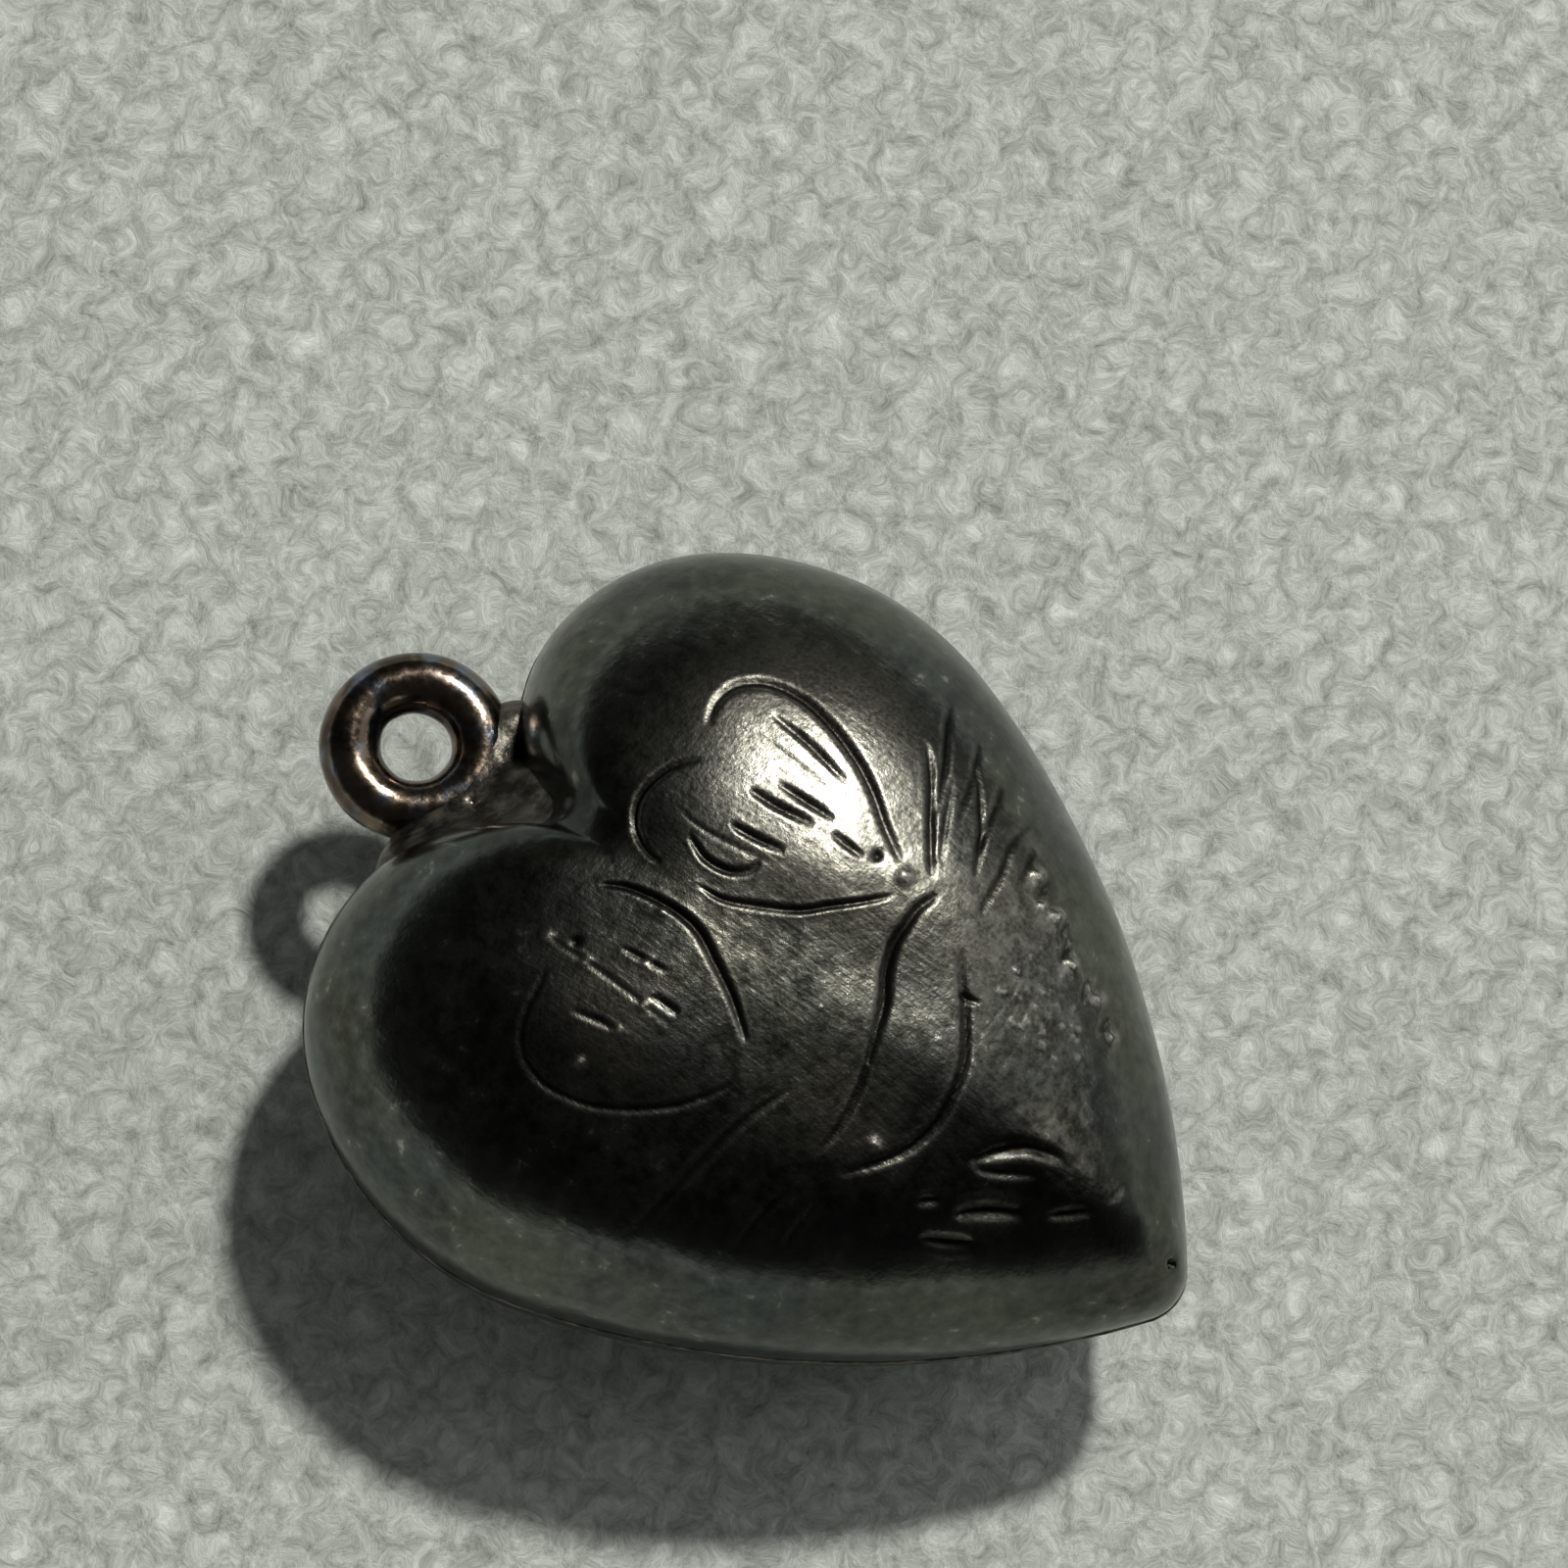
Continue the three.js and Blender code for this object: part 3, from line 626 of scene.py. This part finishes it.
# engraved carries the cuts' black patina and painted shade at the vent, the tip and the cleft; rubbed
# carries wear and the right lobe's painted highlight.
front = make_piece("front_shell_chased", shell_points, shell_faces, silver,
                   engraved=np.r_[cut.ravel(), unseen], rubbed=np.r_[burr.ravel(), unseen],
                   side=np.r_[steep.ravel(), unseen])
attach(front, "root")
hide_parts("front_shell")

# ---------------------------------------------------------------------------
# Back shell. The plain half of the same silver sheet, struck in the same shape
# without the engraving. Its crown is pressed flat, so that the charm lies still.
# ---------------------------------------------------------------------------

BACK_FLAT_RADIUS = 1.8
BACK_COLUMNS = 360
BACK_ROWS = 90

flat_share = BACK_FLAT_RADIUS / CROWN_RADIUS
back_edge, back_normal = heart_outline(BACK_COLUMNS)
share, level = dome_rows(DOME_HEIGHT, BACK_ROWS, flat_share)
back_outer = puffed(back_edge, share, level)
inner_share, inner_level = dome_rows(DOME_HEIGHT - WALL, INNER_ROWS, flat_share)
back_inner = puffed(back_edge - WALL * back_normal, inner_share, inner_level)[::-1]
crown = np.array([[0.0, DOME_CENTRE_Y, DOME_HEIGHT], [0.0, DOME_CENTRE_Y, DOME_HEIGHT - WALL]])
back_points = np.vstack([back_outer.reshape(-1, 3), back_inner.reshape(-1, 3), crown])
back_points = back_points * [1, 1, -1] + [0.0, HEART_SHIFT[1], seam_low]
all_rows = BACK_ROWS + INNER_ROWS
back_faces = [
    closed_grid_faces(all_rows, BACK_COLUMNS, flip=True),
    fan_faces(all_rows * BACK_COLUMNS, 0, BACK_COLUMNS, flip=True),
    fan_faces(all_rows * BACK_COLUMNS + 1, (all_rows - 1) * BACK_COLUMNS, BACK_COLUMNS),
]
steep = np.r_[steepness(back_outer).ravel(), np.zeros(INNER_ROWS * BACK_COLUMNS + 2)]
back = make_piece("back_shell_plain", back_points, back_faces, silver,
                  engraved=0 * steep, rubbed=0 * steep, side=steep)
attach(back, "root")
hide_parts("back_shell")

# ---------------------------------------------------------------------------
# Seam. Hard silver solder, run round the joint between the two shells and filed
# nearly flush, so that only a fine, slightly uneven line stands proud.
# ---------------------------------------------------------------------------

SEAM_PROUD = 0.03
SEAM_ROUNDNESS = 0.55
SEAM_COLUMNS = 900
SEAM_SECTION = 16

# How far the filed line wanders in mm, and for each wave how many times it goes up and
# down on the way round and where it starts.
SEAM_UNEVEN = 0.006
SEAM_WAVES = [(23, 0), (57, 1), (131, 2)]

PIT_RELIEF = 0.25


def solder_silver(name, dark, light, roughness, lump):
    """Silver solder, darkened with the rest: greyer and duller than the sheet, with the
    soft lumps, 0.45 mm across, and the pits, 0.08 mm, of metal that has run and been left
    as it froze."""
    material, tree, output = blank_material(name)
    place = add(tree, "ShaderNodeTexCoord").outputs["Object"]
    runs = add(tree, "ShaderNodeTexNoise", values={"Scale": per_mm(lump), "Detail": 4.0, "Roughness": 0.6},
               links={"Vector": place})
    pits = add(tree, "ShaderNodeTexNoise", values={"Scale": per_mm(0.08), "Detail": 2.0},
               links={"Vector": place})
    mix = add(tree, "ShaderNodeMapRange", {"interpolation_type": "SMOOTHSTEP"},
              {"From Min": 0.35, "From Max": 0.68}, {"Value": runs.outputs[0]})
    film = add(tree, "ShaderNodeMix", {"data_type": "RGBA"}, {6: colour(dark), 7: colour(light)},
               {0: mix.outputs[0]})
    rough = add(tree, "ShaderNodeMapRange", {},
                {"From Min": 0.3, "From Max": 0.7, "To Min": roughness - 0.08,
                 "To Max": roughness + 0.1}, {"Value": pits.outputs[0]})
    relief = add(tree, "ShaderNodeMath", {"operation": "MULTIPLY_ADD"}, {1: PIT_RELIEF},
                 {0: pits.outputs[0], 2: runs.outputs[0]})
    bump = add(tree, "ShaderNodeBump", values={"Distance": 0.03 * MM, "Strength": 1.0},
               links={"Height": relief.outputs[0]})
    shader = add(tree, "ShaderNodeBsdfPrincipled", values={"Metallic": 1.0},
                 links={"Base Color": film.outputs[2], "Roughness": rough.outputs[0],
                        "Normal": bump.outputs[0]})
    tree.links.new(shader.outputs[0], output.inputs["Surface"])
    return material


def bead_along(path, normal, section, proud):
    """A round-cornered bead carried along a closed path: the section's first number
    goes out along the path's normal, and its second up."""
    out = path[:, None] + normal[:, None] * (section[None, :, 0] + proud[:, None])[..., None]
    up = np.broadcast_to(section[None, :, 1], out.shape[:2])
    return np.dstack([out, up])


seam_edge, seam_normal = heart_outline(SEAM_COLUMNS)
turn = np.linspace(0, 2 * np.pi, SEAM_SECTION, endpoint=False)
half_thick = (seam_high - seam_low) / 2
half_deep = (WALL + SEAM_PROUD) / 2
corner = np.stack([np.cos(turn), np.sin(turn)], axis=1)
corner = np.sign(corner) * np.abs(corner) ** SEAM_ROUNDNESS * [half_deep, half_thick]
corner[:, 0] += SEAM_PROUD - half_deep
around = np.linspace(0, 2 * np.pi, SEAM_COLUMNS, endpoint=False)
uneven = sum(np.sin(times * around + start) for times, start in SEAM_WAVES)
uneven = SEAM_UNEVEN * uneven / len(SEAM_WAVES) - SEAM_UNEVEN
seam_grid = bead_along(seam_edge + HEART_SHIFT, seam_normal, corner, uneven)
seam_grid[..., 2] += (seam_low + seam_high) / 2
seam_points = seam_grid.transpose(1, 0, 2).reshape(-1, 3)
seam_faces = closed_grid_faces(SEAM_SECTION + 1, SEAM_COLUMNS, flip=True)
seam_faces %= SEAM_SECTION * SEAM_COLUMNS
solder = solder_silver("darkened silver solder", "#35332e", "#767268", roughness=0.4, lump=0.45)
seam = make_piece("seam_solder_line", seam_points, [seam_faces], solder)
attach(seam, "root")
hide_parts("seam_solder")

# ---------------------------------------------------------------------------
# Hanging ring. Thick round silver wire bent to a ring and closed, polished before
# it was darkened, so it is smoother and browner than the shells.
# ---------------------------------------------------------------------------

RING_COLUMNS = 240
WIRE_COLUMNS = 72
WANDER_LONG = 0.008
WANDER_SHORT = 0.006
HOLE_WEAR = 0.05
HOLE_WEAR_ANGLE = 0.5


def ring_surface(centre, ring_radius, wire_radius, around, across):
    """A ring of round wire: each point is the ring's radius plus the wire's radius
    times the cosine out, and the wire's radius times the sine up. The wire is worn a
    little thinner where a chain hangs, on the side of the hole furthest from the heart,
    and its thickness wanders by a hundredth, three and seven times round."""
    wander = 1 + WANDER_LONG * np.sin(3 * around + 1) + WANDER_SHORT * np.sin(7 * around)
    worn_at = np.exp(-(((around - np.pi / 2) / HOLE_WEAR_ANGLE) ** 2))
    wear = 1 - HOLE_WEAR * worn_at * np.clip(-np.cos(across), 0, 1)
    wire = wire_radius * wander * wear
    out = ring_radius + wire * np.cos(across)
    return np.stack([centre[0] + out * np.cos(around), centre[1] + out * np.sin(around),
                     centre[2] + wire * np.sin(across)], axis=-1)


def polished_wire(name, dark, light, thin_blue, thin_straw):
    """Drawn silver wire, polished and then toned: a smooth brown-black film with faint
    blue and straw colours where it is thinnest, 0.5 mm across, and fine marks of wear,
    drawn 0.12 mm across to show."""
    material, tree, output = blank_material(name)
    place = add(tree, "ShaderNodeTexCoord").outputs["Object"]
    clouds = add(tree, "ShaderNodeTexNoise", values={"Scale": per_mm(0.8), "Detail": 3.0},
                 links={"Vector": place})
    marks = add(tree, "ShaderNodeTexNoise", values={"Scale": per_mm(0.12), "Detail": 4.0},
                links={"Vector": place})
    mix = add(tree, "ShaderNodeMapRange", {"interpolation_type": "SMOOTHSTEP"},
              {"From Min": 0.35, "From Max": 0.65}, {"Value": clouds.outputs[0]})
    film = add(tree, "ShaderNodeMix", {"data_type": "RGBA"}, {6: colour(dark), 7: colour(light)},
               {0: mix.outputs[0]})
    hues = add(tree, "ShaderNodeTexNoise", {"noise_dimensions": "4D"}, {"Scale": per_mm(0.5), "W": 3.0},
               {"Vector": place})
    blue = add(tree, "ShaderNodeMapRange", {"interpolation_type": "SMOOTHSTEP"},
               {"From Min": 0.5, "From Max": 0.68, "To Max": 0.8}, {"Value": hues.outputs[0]})
    straw = add(tree, "ShaderNodeMapRange", {"interpolation_type": "SMOOTHSTEP"},
                {"From Min": 0.45, "From Max": 0.3, "To Max": 0.7}, {"Value": hues.outputs[0]})
    blued = add(tree, "ShaderNodeMix", {"data_type": "RGBA"}, {7: colour(thin_blue)},
                {0: blue.outputs[0], 6: film.outputs[2]})
    toned = add(tree, "ShaderNodeMix", {"data_type": "RGBA"}, {7: colour(thin_straw)},
                {0: straw.outputs[0], 6: blued.outputs[2]})
    rough = add(tree, "ShaderNodeMapRange", {},
                {"From Min": 0.3, "From Max": 0.7, "To Min": 0.15, "To Max": 0.27},
                {"Value": marks.outputs[0]})
    bump = add(tree, "ShaderNodeBump", values={"Distance": 0.006 * MM, "Strength": 1.0},
               links={"Height": marks.outputs[0]})
    shader = add(tree, "ShaderNodeBsdfPrincipled", values={"Metallic": 1.0},
                 links={"Base Color": toned.outputs[2], "Roughness": rough.outputs[0],
                        "Normal": bump.outputs[0]})
    tree.links.new(shader.outputs[0], output.inputs["Surface"])
    return material


ring_box = np.array([list(corner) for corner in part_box("hanging_ring")]) / MM
ring_centre = ring_box.mean(axis=0)
wire_radius = (ring_box[1, 2] - ring_box[0, 2]) / 2
ring_radius = (ring_box[1, 0] - ring_box[0, 0]) / 2 - wire_radius
across, around = np.meshgrid(np.linspace(0, 2 * np.pi, WIRE_COLUMNS, endpoint=False),
                             np.linspace(0, 2 * np.pi, RING_COLUMNS, endpoint=False), indexing="ij")
ring_points = ring_surface(ring_centre, ring_radius, wire_radius, around, across).reshape(-1, 3)
ring_faces = closed_grid_faces(WIRE_COLUMNS + 1, RING_COLUMNS, flip=True)
ring_faces %= WIRE_COLUMNS * RING_COLUMNS
wire = polished_wire("toned silver wire", dark="#50463e", light="#887a6c", thin_blue="#7a8492",
                     thin_straw="#9a866b")
ring = make_piece("hanging_ring_wire", ring_points, [ring_faces], wire)
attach(ring, "root")
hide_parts("hanging_ring")

# ---------------------------------------------------------------------------
# Ring solder. The lump of silver solder that joins the ring to the two lobes: a
# saddle, wide under the ring and narrowing into the cleft, left lumpy as it froze.
# ---------------------------------------------------------------------------

SADDLE_ROWS = 60
SADDLE_COLUMNS = 220
SADDLE_CENTRE = (-0.1, 4.95)
SADDLE_EDGE = [
    (1.25, 5.95), (1.66, 5.55), (1.66, 4.9), (1.3, 4.2), (0.7, 3.5), (0.0, 3.1), (-0.8, 3.15),
    (-1.75, 3.55), (-2.45, 4.35), (-2.5, 5.2), (-2.1, 5.8), (-1.4, 5.98), (-0.75, 5.84),
    (0.0, 5.76), (0.75, 5.84),
]
EDGE_STEPS = 24
EDGE_OVERLAP = 2

# Places on the saddle, in mm, and half its thickness there.
SADDLE_THICK_AT = [
    (1.3, 5.8, 0.38), (0.6, 5.8, 0.4), (0.0, 5.75, 0.42), (-0.7, 5.75, 0.44), (-1.4, 5.85, 0.55),
    (-2.1, 5.6, 1.15), (1.6, 5.0, 0.7), (0.8, 5.1, 0.58), (0.0, 5.1, 0.62), (-0.7, 5.1, 0.85),
    (-1.4, 5.2, 1.3), (-2.1, 5.3, 1.6), (1.2, 4.3, 1.35), (0.5, 4.4, 1.2), (0.0, 4.4, 1.3),
    (-0.7, 4.4, 1.85), (-1.39, 4.4, 2.35), (-2.06, 4.75, 2.0), (0.6, 3.6, 2.0), (0.0, 3.4, 2.4),
    (-0.63, 3.5, 2.6), (-1.39, 4.0, 2.4),
]
SADDLE_THINNEST = 0.3
SADDLE_DEEPEST = 1.5
SADDLE_RIPPLE = 0.014
SADDLE_SPREAD = 0.8
SADDLE_SQUARENESS = 10

# Swellings and dimples: radius, height and centre.
SADDLE_LUMPS = [
    (0.35, 0.1, (-0.5, 4.9)), (0.2, 0.06, (0.1, 4.95)), (0.3, -0.35, (0.95, 5.0)),
    (0.16, 0.05, (-0.9, 5.2)), (0.11, -0.12, (-0.3, 5.22)), (0.2, 0.07, (0.4, 4.7)),
    (0.25, 0.06, (-1.3, 5.3)),
]


def thin_plate(places, x, y):
    """The smoothest sheet through the listed places, each an x, a y and a height: a plane
    plus, for each place, its weight times the squared distance to it and the logarithm
    of that distance."""
    at, height = np.array(places)[:, :2], np.array(places)[:, 2]
    plane = np.column_stack([np.ones(len(at)), at])
    apart = ((at[:, None] - at) ** 2).sum(axis=2)
    bent = apart * np.log(np.maximum(apart, 1e-12))
    sums = np.block([[bent, plane], [plane.T, np.zeros((3, 3))]])
    weight = np.linalg.solve(sums, np.r_[height, 0, 0, 0])
    apart = (x[..., None] - at[:, 0]) ** 2 + (y[..., None] - at[:, 1]) ** 2
    bent = apart * np.log(np.maximum(apart, 1e-12))
    return bent @ weight[:-3] + weight[-3] + weight[-2] * x + weight[-1] * y


def saddle_surface(middle_z):
    """A lump that fills the cleft, one grid from the middle of its top over its edge to
    the middle of its underside. Its half thickness is the smooth sheet through the listed
    places, swelled and dimpled by bell curves and finely rippled, and falls to nothing at
    the edge as the root of one less the tenth power of the way out. The underside is kept
    shallower. The edge's line is run past its start at both ends and trimmed, so that it
    joins smoothly."""
    closed = np.array(SADDLE_EDGE[-EDGE_OVERLAP:] + SADDLE_EDGE + SADDLE_EDGE[:EDGE_OVERLAP])
    trimmed = EDGE_OVERLAP * EDGE_STEPS
    smooth = curve_through(closed, EDGE_STEPS)[trimmed:-trimmed - 1]
    from_centre = smooth - SADDLE_CENTRE
    angle = np.unwrap(np.arctan2(from_centre[:, 1], from_centre[:, 0]))
    turn = np.linspace(0, 2 * np.pi, SADDLE_COLUMNS, endpoint=False)
    order = np.argsort(angle % (2 * np.pi))
    reach = np.interp(turn, (angle % (2 * np.pi))[order], np.linalg.norm(from_centre, axis=1)[order],
                      period=2 * np.pi)
    swing = np.linspace(0, np.pi, SADDLE_ROWS + 2)[1:-1]
    way_out = np.sin(swing) ** SADDLE_SPREAD
    x = SADDLE_CENTRE[0] + way_out[:, None] * reach * np.cos(turn)
    y = SADDLE_CENTRE[1] + way_out[:, None] * reach * np.sin(turn)
    thick = np.maximum(thin_plate(SADDLE_THICK_AT, x, y), SADDLE_THINNEST)
    thick = thick + bells(SADDLE_LUMPS, x, y)
    thick = thick + SADDLE_RIPPLE * np.sin(9 * x + 4 * y) * np.sin(11 * y - 3 * x)
    fall = np.sqrt(np.clip(1 - way_out**SADDLE_SQUARENESS, 0, 1))[:, None]
    below = np.cos(swing)[:, None] < 0
    rise = np.where(below, -np.minimum(thick, SADDLE_DEEPEST), thick) * fall
    return np.stack([x, y, middle_z + rise], axis=-1)


saddle = saddle_surface(ring_centre[2])
saddle_count = SADDLE_ROWS * SADDLE_COLUMNS
saddle_points = np.vstack([saddle.reshape(-1, 3), saddle[0].mean(0), saddle[-1].mean(0)])
saddle_faces = [
    closed_grid_faces(SADDLE_ROWS, SADDLE_COLUMNS),
    fan_faces(saddle_count, 0, SADDLE_COLUMNS),
    fan_faces(saddle_count + 1, saddle_count - SADDLE_COLUMNS, SADDLE_COLUMNS, flip=True),
]
saddle_piece = make_piece("ring_solder_saddle", saddle_points, saddle_faces, solder)
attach(saddle_piece, "root")
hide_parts("ring_solder")

# ---------------------------------------------------------------------------
# Floor. A plain sheet of pale wool felt, far bigger than the charm: matted fibres, quite
# dull, with an uneven nap. Single fibres are finer, and are drawn as clumps of 0.45 mm.
# ---------------------------------------------------------------------------

FLOOR_HALF = 400.0

felt, tree, output = blank_material("pale wool felt")
place = add(tree, "ShaderNodeTexCoord").outputs["Object"]
fibres = add(tree, "ShaderNodeTexNoise",
             values={"Scale": per_mm(0.45), "Detail": 8.0, "Roughness": 0.78, "Distortion": 0.8},
             links={"Vector": place})
shade = add(tree, "ShaderNodeMapRange", {}, {"From Min": 0.3, "From Max": 0.7},
            {"Value": fibres.outputs[0]})
wool = add(tree, "ShaderNodeMix", {"data_type": "RGBA"}, {6: colour("#868c83"), 7: colour("#f1f5ee")},
           {0: shade.outputs[0]})
nap = add(tree, "ShaderNodeBump", values={"Distance": 0.12 * MM, "Strength": 0.8},
          links={"Height": fibres.outputs[0]})
shader = add(tree, "ShaderNodeBsdfPrincipled", values={"Roughness": 1.0, "Specular IOR Level": 0.1},
             links={"Base Color": wool.outputs[2], "Normal": nap.outputs[0]})
tree.links.new(shader.outputs[0], output.inputs["Surface"])
floor_points = FLOOR_HALF * np.array([[-1, -1, 0], [1, -1, 0], [1, 1, 0], [-1, 1, 0]], float)
floor = make_piece("felt_floor", floor_points, [np.array([[0, 1, 2, 3]])], felt)

# ---------------------------------------------------------------------------
# Light and camera. One small strong lamp up on the right, a soft box lower down on the
# right towards the tip, and a faint wide fill that softens the shadow and shows in no
# reflection. The room is dim overhead, with paler walls low down all round.
# ---------------------------------------------------------------------------

LAMP_FROM = np.array([0.53, 0.07, 0.845])
LAMP_STRENGTH = 2.6
LAMP_ANGLE = np.radians(5)
LAMP_COLOUR = (1.0, 0.985, 0.95)

lamp = bpy.data.lights.new("key lamp", "SUN")
lamp.energy = LAMP_STRENGTH
lamp.angle = LAMP_ANGLE
lamp.color = LAMP_COLOUR
lamp_object = bpy.data.objects.new("key lamp", lamp)
bpy.context.scene.collection.objects.link(lamp_object)


def facing(back, roll=0.0):
    """The matrix of a thing whose own Z points along back, turned about it by roll."""
    back = np.array(back, float) / np.linalg.norm(back)
    right = np.cross([0.0, 0.0, 1.0], back)
    right /= np.linalg.norm(right)
    up = np.cross(back, right)
    turned = [np.cos(roll) * right + np.sin(roll) * up, np.cos(roll) * up - np.sin(roll) * right, back]
    return Matrix(np.array(turned).T.tolist()).to_4x4()


lamp_object.matrix_world = facing(LAMP_FROM)

SOFT_BOX_FROM = np.array([0.61, -0.47, 0.635])
SOFT_BOX_AWAY = 160.0
SOFT_BOX_SIDE = 110.0
SOFT_BOX_WATTS = 0.045

soft_box = bpy.data.lights.new("soft box", "AREA")
soft_box.energy = SOFT_BOX_WATTS
soft_box.size = SOFT_BOX_SIDE * MM
soft_box_object = bpy.data.objects.new("soft box", soft_box)
bpy.context.scene.collection.objects.link(soft_box_object)
soft_box_stand = facing(SOFT_BOX_FROM)
soft_box_stand.translation = (SOFT_BOX_FROM * SOFT_BOX_AWAY * MM).tolist()
soft_box_object.matrix_world = soft_box_stand
soft_box_object.visible_camera = False

FILL_STRENGTH = 0.23
FILL_ANGLE = np.radians(120)

fill = bpy.data.lights.new("fill", "SUN")
fill.energy = FILL_STRENGTH
fill.angle = FILL_ANGLE
fill_object = bpy.data.objects.new("fill", fill)
bpy.context.scene.collection.objects.link(fill_object)
fill_object.visible_glossy = False

PALE_WALLS = (0.68, 0.7, 0.67, 1)
DIM_OVERHEAD = (0.026, 0.026, 0.025, 1)

world = bpy.data.worlds.new("dim room")
bpy.context.scene.world = world
world.use_nodes = True
sky = world.node_tree
sky.nodes.clear()
direction = add(sky, "ShaderNodeTexCoord").outputs["Generated"]
parts = add(sky, "ShaderNodeSeparateXYZ", links={"Vector": direction})
overhead = add(sky, "ShaderNodeMapRange", {"interpolation_type": "SMOOTHSTEP"},
               {"From Min": 0.05, "From Max": 0.2}, {"Value": parts.outputs["Z"]})
room = add(sky, "ShaderNodeMix", {"data_type": "RGBA"}, {6: PALE_WALLS, 7: DIM_OVERHEAD},
           {0: overhead.outputs[0]})
backdrop = add(sky, "ShaderNodeBackground", links={"Color": room.outputs[2]})
add(sky, "ShaderNodeOutputWorld", links={"Surface": backdrop.outputs[0]})

CAMERA_AZIMUTH = np.radians(-73.3181)
CAMERA_ELEVATION = np.radians(75.3238)
CAMERA_ROLL = np.radians(19.8256)
CAMERA_DISTANCE = 110.0
CAMERA_AIM = np.array([2.9922, 1.6119, 3.5625])
CAMERA_HALF_VIEW = 12.2376

camera = bpy.data.cameras.new("camera")
camera.angle = 2 * np.arctan(CAMERA_HALF_VIEW / CAMERA_DISTANCE)
camera.clip_start = 0.001
camera.clip_end = 10.0
camera_object = bpy.data.objects.new("camera", camera)
bpy.context.scene.collection.objects.link(camera_object)
level_part = np.cos(CAMERA_ELEVATION)
back_towards = np.array([np.sin(CAMERA_AZIMUTH) * level_part, -np.cos(CAMERA_AZIMUTH) * level_part,
                         np.sin(CAMERA_ELEVATION)])
stand = facing(back_towards, CAMERA_ROLL)
stand.translation = ((CAMERA_AIM + back_towards * CAMERA_DISTANCE) * MM).tolist()
camera_object.matrix_world = stand
bpy.context.scene.camera = camera_object
bpy.context.scene.view_settings.view_transform = "Standard"
